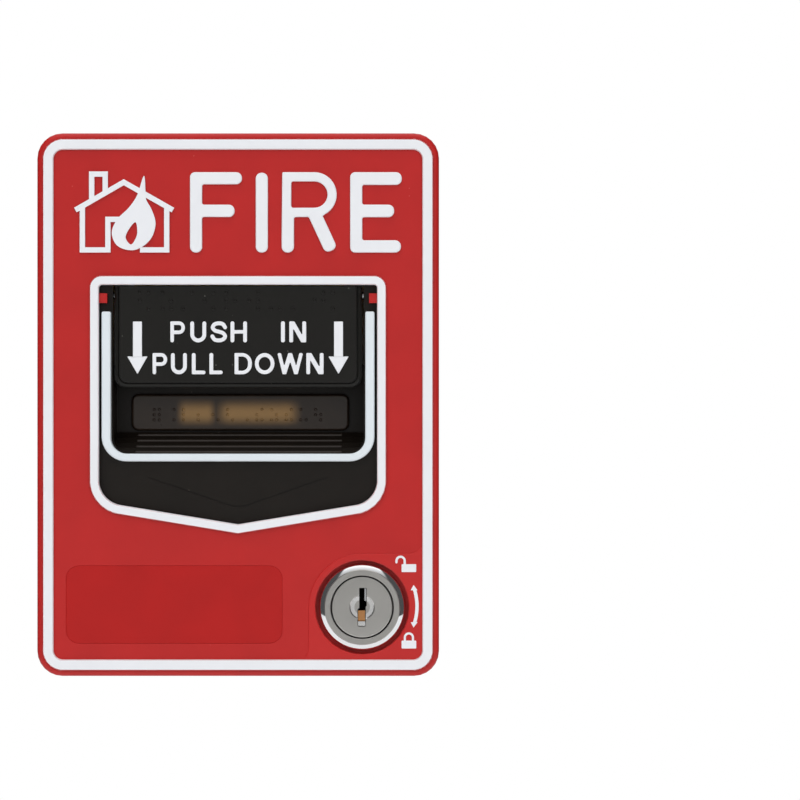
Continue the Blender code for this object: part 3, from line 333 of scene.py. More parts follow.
def cleaned_copy(node):
    """A new object with a CAD node's shape, its loose triangles welded and its flat faces whole."""
    thing = bpy.data.objects.new(node + "_finished", NODES[node].data.copy())
    bpy.context.scene.collection.objects.link(thing)
    activate(thing)
    bpy.ops.mesh.customdata_custom_splitnormals_clear()
    bpy.ops.object.mode_set(mode="EDIT")
    bpy.ops.mesh.select_all(action="SELECT")
    bpy.ops.mesh.remove_doubles(threshold=1e-6)
    bpy.ops.mesh.dissolve_limited(angle_limit=math.radians(0.5))
    bpy.ops.object.mode_set(mode="OBJECT")
    return thing


def joined(name, things):
    activate(things[0])
    for thing in things[1:]:
        thing.select_set(True)
    bpy.ops.object.join()
    things[0].name = name
    return things[0]


def fitted(thing, body, look, *nodes, smooth=35):
    """Gives a finished piece its shading, its material, its body and the CAD nodes it stands for."""
    activate(thing)
    thing.data.materials.clear()
    thing.data.materials.append(look)
    bpy.ops.object.shade_smooth_by_angle(angle=math.radians(smooth))
    even = thing.modifiers.new("even", "WEIGHTED_NORMAL")
    even.keep_sharp = True
    apply_all(thing)
    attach(thing, body)
    if nodes:
        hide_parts(*nodes)
    return thing


def finish(name, color, rough, metallic=0.0, mottle=0.05, grain=2200, bump=0.12, spread=0.05,
           stretch=(1, 1, 1), specks=None, dust=0.0, shine=0.5):
    """A moulded or metal surface: patches of colour, uneven gloss, fine grain and a few specks."""
    look = bpy.data.materials.new(name)
    look.use_nodes = True
    nodes, links = look.node_tree.nodes, look.node_tree.links
    shader = nodes["Principled BSDF"]
    shader.inputs["Metallic"].default_value = metallic
    shader.inputs["Specular IOR Level"].default_value = shine
    place = nodes.new("ShaderNodeTexCoord").outputs["Object"]
    spread_out = nodes.new("ShaderNodeMapping")
    spread_out.inputs["Scale"].default_value = stretch
    links.new(place, spread_out.inputs["Vector"])

    def noise(scale, detail, source):
        made = nodes.new("ShaderNodeTexNoise")
        made.inputs["Scale"].default_value = scale
        made.inputs["Detail"].default_value = detail
        links.new(source, made.inputs["Vector"])
        return made.outputs["Fac"]

    patches = nodes.new("ShaderNodeValToRGB")
    patches.color_ramp.elements[0].position = 0.3
    patches.color_ramp.elements[1].position = 0.7
    patches.color_ramp.elements[0].color = (*(c * (1 - mottle) for c in color), 1)
    patches.color_ramp.elements[1].color = (*(min(1, c * (1 + mottle)) for c in color), 1)
    links.new(noise(90, 4, place), patches.inputs["Fac"])
    paint = patches.outputs["Color"]
    if specks:
        cells = nodes.new("ShaderNodeTexVoronoi")
        cells.inputs["Scale"].default_value = 700
        links.new(place, cells.inputs["Vector"])
        near = nodes.new("ShaderNodeMath")
        near.operation = "LESS_THAN"
        near.inputs[1].default_value = 0.1
        links.new(cells.outputs["Distance"], near.inputs[0])
        chance = nodes.new("ShaderNodeSeparateColor")
        links.new(cells.outputs["Color"], chance.inputs["Color"])
        few = nodes.new("ShaderNodeMath")
        few.operation = "LESS_THAN"
        few.inputs[1].default_value = dust
        links.new(chance.outputs["Red"], few.inputs[0])
        both = nodes.new("ShaderNodeMath")
        both.operation = "MULTIPLY"
        links.new(near.outputs[0], both.inputs[0])
        links.new(few.outputs[0], both.inputs[1])
        mix = nodes.new("ShaderNodeMix")
        mix.data_type = "RGBA"
        links.new(both.outputs[0], mix.inputs["Factor"])
        links.new(paint, mix.inputs["A"])
        mix.inputs["B"].default_value = (*specks, 1)
        paint = mix.outputs["Result"]
    links.new(paint, shader.inputs["Base Color"])
    gloss = nodes.new("ShaderNodeMapRange")
    gloss.inputs["To Min"].default_value = max(0.02, rough - spread)
    gloss.inputs["To Max"].default_value = rough + spread
    links.new(noise(700, 3, spread_out.outputs["Vector"]), gloss.inputs["Value"])
    links.new(gloss.outputs["Result"], shader.inputs["Roughness"])
    relief = nodes.new("ShaderNodeBump")
    relief.inputs["Strength"].default_value = bump
    relief.inputs["Distance"].default_value = 0.05 * MM
    links.new(noise(grain, 2, spread_out.outputs["Vector"]), relief.inputs["Height"])
    links.new(relief.outputs["Normal"], shader.inputs["Normal"])
    return look


LABEL_RED = finish("red_label_seat", (0.43, 0.0085, 0.0075), 0.48, mottle=0.05, grain=1800,
                   bump=0.12, shine=0.3)
PAD_RED = finish("red_lock_pad", (0.5, 0.012, 0.011), 0.38, mottle=0.03, grain=2600,
                 bump=0.12)
RED = finish("red_moulding", (0.47, 0.013, 0.012), 0.42, mottle=0.04, grain=2600, bump=0.22,
             specks=(0.55, 0.08, 0.07), dust=0.012, shine=0.4)
WHITE = finish("white_print", (0.83, 0.845, 0.88), 0.45, mottle=0.01, bump=0.08)
TRIM = finish("cool_white_trim", (0.74, 0.80, 0.84), 0.4, mottle=0.02, bump=0.12)
BLACK = finish("satin_black", (0.0088, 0.0064, 0.0046), 0.38, mottle=0.12, bump=0.2,
               specks=(0.1, 0.08, 0.065), dust=0.035, shine=0.27)
PLATE = finish("push_plate_black", (0.0084, 0.0078, 0.0066), 0.42, mottle=0.1, bump=0.25,
               specks=(0.13, 0.13, 0.115), dust=0.06, shine=0.27)
# painted highlight: the grip beads are coloured lighter than the black moulding so they read as highlight
# lines along the rib edges
GRIP_PAINTED_HIGHLIGHT = finish("grip_painted_highlight", (0.032, 0.025, 0.021), 0.3, mottle=0.15, bump=0.1)
YELLOW = finish("flag_yellow", (0.75, 0.47, 0.03), 0.45)
GREY = finish("matt_grey", (0.22, 0.235, 0.24), 0.5, bump=0.2)
GREEN = finish("green_lacquer", (0.03, 0.26, 0.07), 0.35)
BUTTON = finish("button_red", (0.5, 0.03, 0.025), 0.35)
CHROME = finish("mirror_chrome", (0.82, 0.83, 0.85), 0.07, 1.0, mottle=0.01, bump=0.0,
                spread=0.02)
SATIN = finish("satin_nickel", (0.50, 0.49, 0.465), 0.33, 1.0, mottle=0.04, bump=0.05,
               stretch=(1, 1, 6))
BRIGHT = finish("bright_nickel", (0.86, 0.86, 0.85), 0.16, 1.0, mottle=0.02, bump=0.02)
# painted shade: near-black for the inside of the keyway, standing for the shade deep in the slot
KEYWAY_SHADE = finish("keyway_painted_shade", (0.006, 0.006, 0.006), 0.5, bump=0.05, shine=0.2)
BRASS = finish("warm_brass", (0.62, 0.30, 0.12), 0.32, 1.0, mottle=0.08)
STEEL = finish("drawn_steel", (0.55, 0.56, 0.58), 0.25, 1.0, mottle=0.03)
ZINC = finish("zinc_plate", (0.60, 0.61, 0.60), 0.34, 1.0, mottle=0.12, bump=0.08,
              spread=0.1)


def amber_look():
    """Smoked amber plastic, with two patches of light shining through from behind painted into its colour."""
    look = finish("smoked_amber_painted_glow", (0.026, 0.0165, 0.011), 0.3, mottle=0.2, bump=0.1)
    nodes, links = look.node_tree.nodes, look.node_tree.links
    shader = nodes["Principled BSDF"]
    split = nodes.new("ShaderNodeSeparateXYZ")
    links.new(nodes["Texture Coordinate"].outputs["Object"], split.inputs["Vector"])

    def ramp(source, low, high, fade):
        made = nodes.new("ShaderNodeMapRange")
        made.interpolation_type = "SMOOTHSTEP"
        made.inputs["From Min"].default_value = low - fade
        made.inputs["From Max"].default_value = low + fade
        links.new(source, made.inputs["Value"])
        other = nodes.new("ShaderNodeMapRange")
        other.interpolation_type = "SMOOTHSTEP"
        other.inputs["From Min"].default_value = high + fade
        other.inputs["From Max"].default_value = high - fade
        links.new(source, other.inputs["Value"])
        return product(made.outputs["Result"], other.outputs["Result"])

    def product(a, b, operation="MULTIPLY"):
        made = nodes.new("ShaderNodeMath")
        made.operation = operation
        links.new(a, made.inputs[0])
        links.new(b, made.inputs[1])
        return made.outputs[0]

    # painted glow: two patches where light from behind seems to shine through the amber, painted into its
    # colour
    patches = product(ramp(split.outputs["X"], -15.6 * MM, -7.3 * MM, 1.5 * MM),
                      ramp(split.outputs["X"], -4.9 * MM, 14.2 * MM, 2.4 * MM), "MAXIMUM")
    painted_glow = product(patches, ramp(split.outputs["Z"], -4.3 * MM, 0.1 * MM, 1.9 * MM))
    blend = nodes.new("ShaderNodeMix")
    blend.data_type = "RGBA"
    links.new(painted_glow, blend.inputs["Factor"])
    links.new(shader.inputs["Base Color"].links[0].from_socket, blend.inputs["A"])
    # the colour of the painted glow
    blend.inputs["B"].default_value = (0.36, 0.205, 0.072, 1)
    links.new(blend.outputs["Result"], shader.inputs["Base Color"])
    return look


AMBER_WITH_PAINTED_GLOW = amber_look()


# ---- the red cover ----------------------------------------------------------------------------------
def cover():
    piece = cleaned_copy("front_cover")
    bpy.ops.object.mode_set(mode="EDIT")
    half_w, half_h = COVER_HIGH.x, COVER_HIGH.z

    def outer_front(co):
        inside = max(abs(co[0]) - half_w, abs(co[2]) - half_h)
        return abs(co[1] + FACE_D) < FINE * 100 and inside > -2.2 * MM and on_rim(co)

    def on_rim(co):
        dx, dz = abs(co[0]) - (half_w - 6.5 * MM), abs(co[2]) - (half_h - 6.5 * MM)
        if dx > 0 and dz > 0:
            return abs(math.hypot(dx, dz) - 6.5 * MM) < 0.05 * MM
        return max(abs(co[0]) - half_w, abs(co[2]) - half_h) > -0.02 * MM

    pick(piece, outer_front)
    bpy.ops.mesh.bevel(offset=1.25 * MM, segments=5, profile=0.5)
    bpy.ops.object.mode_set(mode="OBJECT")
    bevelled(piece, 0.22 * MM, 2, 40)
    fitted(piece, "cover", RED, "front_cover", smooth=32)


def band(name, outline, width):
    """A white band with rounded shoulders over a raised band of the cover."""
    inner, outer = -0.12 * MM, width + 0.03 * MM
    edge = 0.35 * MM
    low, high = BAND_D - 0.55 * MM, BAND_D + 0.06 * MM
    turns = [math.pi / 2 * k / 4 for k in range(5)]
    corner = [(edge * (1 - math.cos(a)), high - edge * (1 - math.sin(a))) for a in turns]
    profile = [(inner, BAND_D - 2.2 * MM)] + [(inner + reach, d) for reach, d in corner]
    profile += [(outer - reach, d) for reach, d in corner[::-1]] + [(outer, low)]
    loops = [[front(u, v, d) for u, v in outline(grow)] for grow, d in profile]
    fitted(lofted(name, loops + loops[:1], closed=True), "cover", WHITE)


def fire_letters():
    """The raised word, one piece a letter, on a low step so that its edge reads against the face."""
    w, r = 3.15 * MM, 1.5 * MM
    tight = 0.5 * MM
    low = 39.3 * MM
    top = 60.1 * MM

    def bars(x0, arms, corner_bottom):
        """A stem with arms to its right: (bottom, top, right end) from the lowest up."""
        right = x0 + w
        points = []
        if corner_bottom:
            points += [(x0, low, 1.3 * MM)]
        else:
            points += [(x0, low, r), (right, low, r)]
        for i, (z0, z1, x1) in enumerate(arms):
            if i or not corner_bottom:
                points.append((right, z0, tight))
            points += [(x1, z0, r), (x1, z1, r)]
            if i < len(arms) - 1:
                points.append((right, z1, tight))
        return softened(points + [(x0, top, 1.3 * MM)])

    letters = {
        "F": [bars(-12.4 * MM, [(48.5 * MM, 51.7 * MM, -0.85 * MM), (56.95 * MM, top, 1.05 * MM)], False)],
        "I": [round_rect(4.6 * MM, 7.75 * MM, low, 59.95 * MM, r)],
        "E": [bars(29.0 * MM, [(low, 42.5 * MM, 42.15 * MM), (48.45 * MM, 51.7 * MM, 40.4 * MM),
                               (56.8 * MM, top, 42.35 * MM)], True)],
    }
    bowl_x, bowl_z, bowl_r = 19.75 * MM, 54.3 * MM, 5.8 * MM
    inner_r = 3.4 * MM
    stem, foot = 11.3 * MM, low + 5 * MM
    outer = softened([(stem, foot, 0), (stem, low, r), (14.5 * MM, low, r), (14.5 * MM, 48.5 * MM, tight),
                      (18.3 * MM, 48.5 * MM, tight), (22.65 * MM, 39.1 * MM, 1.45 * MM),
                      (25.75 * MM, 40.5 * MM, 1.45 * MM), (21.95 * MM, 48.75 * MM, 0)], closed=False)
    outer += arc(bowl_x, bowl_z, bowl_r, -63, 90, 16)
    shoulder = [(bowl_x, top, 0), (11.45 * MM, top, 0.35 * MM), (stem, foot, 0)]
    outer += softened(shoulder, closed=False)[1:-1]
    counter = (arc(bowl_x, bowl_z, inner_r, -90, 90, 14)
               + softened([(bowl_x, bowl_z + inner_r, 0), (13.8 * MM, bowl_z + inner_r, tight),
                           (13.8 * MM, bowl_z - inner_r, tight), (bowl_x, bowl_z - inner_r, 0)],
                          closed=False)[1:-1])
    letters["R"] = [outer, counter]
    for letter, outlines in letters.items():
        piece = raised("fire_letter_" + letter, outlines, FACE_D - 0.2 * MM, LETTER_D, 0.3 * MM)
        fitted(piece, "cover", WHITE)


def united(name, outlines, low, high, edge, holes=()):
    """Flat shapes merged into one raised piece, then edged."""
    def prism(outline, reach=0.0):
        loops = [[front(u, v, w) for u, v in outline] for w in (low - reach, high + reach)]
        return lofted(name, loops)

    piece = prism(turned_left(outlines[0]))
    for outline in outlines[1:]:
        boolean(piece, prism(turned_left(outline)), "UNION")
    for outline in holes:
        boolean(piece, prism(turned_left(outline), MM))
    activate(piece)
    bpy.ops.object.mode_set(mode="EDIT")
    bpy.ops.mesh.select_all(action="SELECT")
    bpy.ops.mesh.remove_doubles(threshold=1e-6)
    bpy.ops.mesh.dissolve_limited(angle_limit=math.radians(1))
    bpy.ops.object.mode_set(mode="OBJECT")
    return bevelled(piece, edge, 2, 60)


def millimetres(points):
    return [tuple(value * MM for value in p) for p in points]


def burning_house():
    """A plain sign of a house with a flame in it."""
    w = 1.35 * MM
    lines = [
        [(-42.0, 50.3), (-29.5, 57.5), (-16.8, 50.3)],
        [(-40.2, 51.0), (-40.2, 40.0), (-33.6, 40.0), (-33.6, 47.9), (-29.0, 47.9)],
        [(-18.4, 51.0), (-18.4, 40.0), (-25.3, 40.0)],
        [(-37.8, 53.2), (-37.8, 59.6), (-34.3, 59.6), (-34.3, 55.0)],
    ]
    flame = flowing(millimetres([
        (-27.6, 39.9), (-31.2, 41.1), (-32.6, 44.4), (-31.2, 47.9), (-28.2, 50.9), (-26.0, 54.2),
        (-24.3, 59.2),
        (-23.9, 55.2), (-23.7, 53.0), (-22.3, 50.4), (-21.3, 47.0), (-22.2, 43.4), (-24.6, 40.9)]))
    drop = flowing(millimetres([
        (-27.7, 41.4), (-29.0, 43.0), (-28.4, 45.0), (-26.5, 47.2), (-26.0, 44.6), (-26.6, 42.6)]))
    shapes = [stroke(millimetres(line), w, 1) for line in lines] + [flame]
    piece = united("house_and_flame", shapes, FACE_D - 0.2 * MM, LETTER_D - 0.1 * MM, 0.18 * MM, [drop])
    fitted(piece, "cover", WHITE)


def label_seat():
    """The smooth patch for a label, nearly filling its shallow recess."""
    outline = round_rect(-44.55 * MM, 11.55 * MM, -61.85 * MM, -41.55 * MM, 3.45 * MM)
    piece = raised("label_seat", [outline], FACE_D - 0.6 * MM, FACE_D - 0.04 * MM, 0.25 * MM)
    fitted(piece, "cover", LABEL_RED, smooth=50)


def lock_pad():
    """The low pad round the lock, and its three printed signs."""
    reach = 13.85 * MM
    right, low = BORDER_X + 0.1 * MM, -BORDER_Z - 0.1 * MM
    left_flare = [(LOCK_X - reach, -63.2 * MM), (LOCK_X - reach - 0.5 * MM, -64.9 * MM), (16.6 * MM, low)]
    top_flare = [(right, -36.4 * MM), (46.4 * MM, -37.9 * MM), (44.8 * MM, LOCK_Z + reach)]
    outline = [(right, low)] + top_flare + arc(LOCK_X, LOCK_Z, reach, 90, 180, 24) + left_flare
    ring = circle(LOCK_X, LOCK_Z, 12.2 * MM, 96)
    piece = raised("lock_pad", [outline, ring], FACE_D - 0.3 * MM, FACE_D + 0.22 * MM, 0.2 * MM)
    fitted(piece, "cover", PAD_RED)
    low_d, high_d, edge = FACE_D, FACE_D + 0.34 * MM, 0.08 * MM
    body = [round_rect(42.3 * MM, 46.1 * MM, z - 1.0 * MM, z + 1.05 * MM, 0.2 * MM, 3)
            for z in (-42.3 * MM, -62.05 * MM)]
    open_hoop = stroke(millimetres([(43.12, -41.5)]) + arc(42.05 * MM, -40.4 * MM, 1.07 * MM, 0, 180, 12)
                       + millimetres([(40.98, -40.75)]), 0.6 * MM)
    shut_hoop = stroke(millimetres([(43.15, -61.2)]) + arc(44.2 * MM, -60.2 * MM, 1.05 * MM, 180, 0, 12)
                       + millimetres([(45.25, -61.2)]), 0.55 * MM)
    curve = stroke(arc(31.6 * MM, -52.15 * MM, 14.7 * MM, -17.7, 17.7, 12), 0.88 * MM)
    heads = [millimetres([(44.65, base), (46.45, base), (45.4, tip)])
             for base, tip in ((-48.0, -46.6), (-56.25, -57.65))]
    signs = (("open_padlock_sign", [body[0], open_hoop]), ("shut_padlock_sign", [body[1], shut_hoop]),
             ("turn_arrow_sign", [curve] + heads))
    for name, shapes in signs:
        fitted(united(name, shapes, low_d, high_d, edge), "cover", WHITE)


# ---- push plate and handle --------------------------------------------------------------------------
def push_plate():
    x, top = 30.8 * MM, PLATE_HIGH.z
    bottom, r = 5.6 * MM, 2.4 * MM
    base_d = PLATE_D - 3.4 * MM

    def level(grow, sink, drop):
        outline = round_rect(-x - grow * MM, x + grow * MM, bottom - grow * MM, top - drop * MM,
                             r + grow * 0.5 * MM, 8, 0.45 * MM)
        return [front(u, v, PLATE_D - sink * MM) for u, v in outline]

    levels = [(1.3, 3.4, 0.2), (1.3, 1.75, 0.2), (1.24, 1.45, 0.2), (1.05, 1.15, 0), (0.8, 0.9, 0),
              (0.5, 0.72, 0), (0.32, 0.7, 0), (0.2, 0.8, 0), (0.14, 1.0, 0), (0.0, 1.0, 0),
              (-0.02, 0.36, 0), (-0.08, 0.16, 0.04), (-0.2, 0.04, 0.08), (-0.36, 0.0, 0.1)]
    plate = lofted("push_plate_face", [level(*one) for one in levels])
    pin_low, pin_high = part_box("push_pivot_pin")
    pivot_d, pivot_z = -(pin_low.y + pin_high.y) / 2, (pin_low.z + pin_high.z) / 2
    parts = [plate]
    for sign in (-1, 1):
        near, far = sorted((sign * (x - 2.9 * MM), sign * (x - 0.4 * MM)))
        root, tail = base_d + 0.3 * MM, pivot_d - 2 * MM
        arm = [(root, pivot_z - 2 * MM, 0.4 * MM), (root, pivot_z + 2 * MM, 0.4 * MM),
               (tail, pivot_z + 2 * MM, 1.9 * MM), (tail, pivot_z - 2 * MM, 1.9 * MM)]
        outlines = [softened(arm), circle(pivot_d, pivot_z, 1.25 * MM, 24)]
        parts.append(raised("arm", outlines, near, far, 0.25 * MM, side, 2, both=True))
    fitted(joined("push_plate_finished", parts), "push_plate", PLATE, "push_plate")


class Letters:
    """A plain rounded alphabet: each letter gives its outline and holes in a box of its own."""

    def __init__(self, x0, x1, low, high, width):
        self.x0, self.x1, self.low, self.high, self.w = x0, x1, low, high, width
        self.r, self.t = width * 0.46, width * 0.12

    def P(self):
        x0, x1, w, mid = self.x0, self.x1, self.w * 0.93, self.low + (self.high - self.low) * 0.39
        bowl = (self.high - mid) / 2
        turn, bend = bowl * 0.96, (bowl - w) * 0.85
        rim = softened([(x0, self.low, self.r), (x0 + w, self.low, self.r), (x0 + w, mid, self.t),
                        (x1, mid, turn), (x1, self.high, turn), (x0, self.high, self.r * 0.6)])
        gap = softened([(x0 + w, mid + w, self.t), (x1 - w, mid + w, bend), (x1 - w, self.high - w, bend),
                        (x0 + w, self.high - w, self.t)])
        return [rim, gap]

    def U(self):
        h = self.w / 2
        a, b, r = self.x0 + h, self.x1 - h, (self.x1 - self.x0 - self.w) / 2
        path = [(a, self.high - h)] + arc(a + r, self.low + h + r, r, 180, 360, 14) + [(b, self.high - h)]
        return [stroke(path, self.w)]

    def S(self):
        h = self.w / 2
        spots = [(0.98, 0.76), (0.80, 0.95), (0.5, 1.0), (0.18, 0.94), (0.03, 0.75), (0.2, 0.58),
                 (0.5, 0.51), (0.82, 0.42), (0.98, 0.24), (0.82, 0.06), (0.5, 0.0), (0.18, 0.05), (0.0, 0.24)]
        width, height = self.x1 - self.x0 - self.w, self.high - self.low - self.w
        path = [(self.x0 + h + u * width, self.low + h + v * height) for u, v in spots]
        return [stroke(flowing(path, 4, closed=False), self.w)]

    def H(self):
        x0, x1, w, low, high, r, t = self.x0, self.x1, self.w, self.low, self.high, self.r, self.t
        m0 = (low + high) / 2 - w * 0.45
        m1 = m0 + w * 0.9
        return [softened([
            (x0, low, r), (x0 + w, low, r), (x0 + w, m0, t), (x1 - w, m0, t), (x1 - w, low, r),
            (x1, low, r), (x1, high, r), (x1 - w, high, r), (x1 - w, m1, t), (x0 + w, m1, t),
            (x0 + w, high, r), (x0, high, r)])]

    def I(self):
        return [round_rect(self.x0, self.x1, self.low, self.high, self.r)]

    def N(self):
        x0, x1, w, low, high, r, t = self.x0, self.x1, self.w, self.low, self.high, self.r * 0.8, self.t
        cut = 1.75 * w
        return [softened([
            (x0, low, r), (x0 + w, low, r), (x0 + w, high - cut, t), (x1 - 1.3 * w, low, r),
            (x1, low, r * 0.8), (x1, high, r), (x1 - w, high, r), (x1 - w, low + cut, t),
            (x0 + 1.3 * w, high, r), (x0, high, r * 0.8)])]

    def L(self):
        x0, x1, w, low, high, r = self.x0, self.x1, self.w, self.low, self.high, self.r
        foot = low + w * 0.95
        return [softened([(x0, low, r * 0.5), (x1, low, r), (x1, foot, r), (x0 + w, foot, self.t),
                          (x0 + w, high, r), (x0, high, r)])]

    def D(self):
        x0, x1, w, low, high, r = self.x0, self.x1, self.w, self.low, self.high, self.r
        turn = (high - low) * 0.46
        rim = softened([(x0, low, r * 0.4), (x1, low, turn), (x1, high, turn), (x0, high, r * 0.4)], 10)
        gap = softened([(x0 + w, low + w * 0.9, self.t), (x1 - w, low + w * 0.9, turn - w),
                        (x1 - w, high - w * 0.9, turn - w), (x0 + w, high - w * 0.9, self.t)], 10)
        return [rim, gap]

    def O(self):
        cx, cz = (self.x0 + self.x1) / 2, (self.low + self.high) / 2
        rx, rz = (self.x1 - self.x0) / 2, (self.high - self.low) / 2
        turns = [2 * math.pi * k / 36 for k in range(36)]
        return [[(cx + (rx - cut) * math.cos(a), cz + (rz - cut) * math.sin(a)) for a in turns]
                for cut in (0, self.w)]

    def W(self):
        x0, x1, low, high = self.x0, self.x1, self.low, self.high
        w, r, t = self.w * 0.98, self.r * 0.75, self.t
        mid = (x0 + x1) / 2
        left, right = x0 + (x1 - x0) * 0.27, x1 - (x1 - x0) * 0.27
        dip, foot = w * 2.1, r * 0.8
        return [softened([
            (left - w * 0.42, low, foot), (left + w * 0.5, low, foot), (mid, high - dip * 1.05, t),
            (right - w * 0.5, low, foot), (right + w * 0.42, low, foot), (x1, high, r), (x1 - w, high, r),
            (right, low + dip, t), (mid + w * 0.5, high, r), (mid - w * 0.5, high, r),
            (left, low + dip, t), (x0 + w, high, r), (x0, high, r)])]


def handle_words():
    """PUSH IN and PULL DOWN, with an arrow at each side."""
    rows = (
        (16.1, 21.55, (("P", -17.5, -13.7), ("U", -12.35, -8.2), ("S", -7.15, -2.75), ("H", -1.95, 2.35),
                       ("I", 11.1, 12.15), ("N", 13.25, 17.65))),
        (7.85, 13.35, (("P", -22.1, -18.3), ("U", -17.35, -13.2), ("L", -11.95, -8.4),
                       ("L", -7.4, -3.95), ("D", -0.9, 3.6), ("O", 4.35, 9.45), ("W", 10.15, 16.85),
                       ("N", 17.65, 22.15))),
    )
    low_d, high_d = PLATE_D - 0.1 * MM, PLATE_D + 0.3 * MM
    for number, (low, high, letters) in enumerate(rows, 1):
        parts = []
        for letter, x0, x1 in letters:
            made = Letters(x0 * MM, x1 * MM, low * MM, high * MM, 1.02 * MM)
            parts.append(raised("letter", getattr(made, letter)(), low_d, high_d, 0.14 * MM, steps=2))
        fitted(joined(f"handle_words_row_{number}", parts), "push_plate", WHITE)
    arrows = []
    for sign in (-1, 1):
        x = sign * 26.0 * MM
        shaft, head = 1.17 * MM, 2.65 * MM
        outline = [(x - shaft, 21.5 * MM, 0.2 * MM), (x - shaft, 12.45 * MM, 0.05 * MM),
                   (x - head, 12.5 * MM, 0.12 * MM), (x, 7.9 * MM, 0.15 * MM),
                   (x + head, 12.5 * MM, 0.12 * MM), (x + shaft, 12.45 * MM, 0.05 * MM),
                   (x + shaft, 21.5 * MM, 0.2 * MM)]
        arrows.append(raised("arrow", [softened(outline, 3)], low_d, high_d, 0.14 * MM, steps=2))
    fitted(joined("handle_arrows", arrows), "push_plate", WHITE)


def dots(name, cells, radius, depth, rise, body, look):
    """Small domes, one modelled and the rest copied."""
    dome = [(math.cos(a), math.sin(a)) for a in (0, 0.5, 1.0, 1.35)]
    profile = [(radius, depth - 0.1 * MM)] + [(radius * c, depth + rise * s) for c, s in dome]
    first = revolved(name, profile, (0, 0), segments=12)
    made = []
    for x, z in cells:
        copy = first.copy()
        copy.data = first.data.copy()
        bpy.context.scene.collection.objects.link(copy)
        activate(copy)
        bpy.ops.object.mode_set(mode="EDIT")
        bpy.ops.mesh.select_all(action="SELECT")
        bpy.ops.transform.translate(value=(x, 0, z))
        bpy.ops.object.mode_set(mode="OBJECT")
        made.append(copy)
    bpy.data.objects.remove(first)
    fitted(joined(name, made), body, look)


def dot_cells(seed, starts, rows, pitch, share):
    """A share of the places in a row of two-wide cells, picked by a fixed seed; sizes in millimetres."""
    draw = random.Random(seed)
    places = [(x + k * pitch, z) for x in starts for k in (0, 1) for z in rows]
    return millimetres([place for place in places if draw.random() < share])


def trim():
    low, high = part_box("handle_trim")
    w, r = 2.4 * MM, 6.5 * MM
    bottom = low.z
    rim = [(low.x, high.z, 0.5 * MM), (low.x, bottom, r), (high.x, bottom, r), (high.x, high.z, 0.5 * MM),
           (high.x - w, high.z, 0.5 * MM), (high.x - w, bottom + 2 * MM, r - w),
           (low.x + w, bottom + 2 * MM, r - w), (low.x + w, high.z, 0.5 * MM)]
    piece = raised("handle_trim_finished", [softened(rim, 10)], -high.y, -low.y, 0.45 * MM, steps=4)
    fitted(piece, "handle", TRIM, "handle_trim", smooth=40)


def handle():
    body = bevelled(cleaned_copy("handle_body"), 0.22 * MM, 2, 40)
    low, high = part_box("handle_body")
    plate_d = -low.y
    chevron = millimetres([(-23.2, -18.9, 1.5), (-1.6, -26.3, 1.5), (1.6, -26.3, 1.5), (22.8, -18.9, 1.5)])
    groove = stroke(softened(chevron, closed=False), 0.32 * MM, 3)
    loops = [[front(u, v, w) for u, v in groove] for w in (plate_d - 0.25 * MM, plate_d + MM)]
    boolean(body, lofted("groove", loops))
    fitted(body, "handle", BLACK, "handle_body")
    beads = []
    reach = 26.8 * MM
    for z, d in ((-7.96, 21.4), (-9.4, 24.6), (-10.9, 27.85), (-12.3, 31.0)):
        corners = millimetres([(d - 0.7, z - 0.7, 0.1), (d + 0.5, z - 0.35, 0.3), (d + 0.4, z + 0.2, 0.25),
                               (d - 0.7, z + 0.35, 0.1)])
        beads.append(raised("bead", [softened(corners)], -reach, reach, 0.3 * MM, side, 3, both=True))
    # the beads carry the lighter colour as a painted highlight along the rib edges
    fitted(joined("grip_beads", beads), "handle", GRIP_PAINTED_HIGHLIGHT, smooth=60)
    low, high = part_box("amber_window")
    pane = round_rect(low.x, high.x, low.z - 0.35 * MM, high.z + 1.6 * MM, 1.9 * MM)
    piece = raised("amber_window_finished", [pane], -high.y, -low.y, 0.75 * MM, steps=5)
    fitted(piece, "handle", AMBER_WITH_PAINTED_GLOW, "amber_window", smooth=60)
    return -low.y


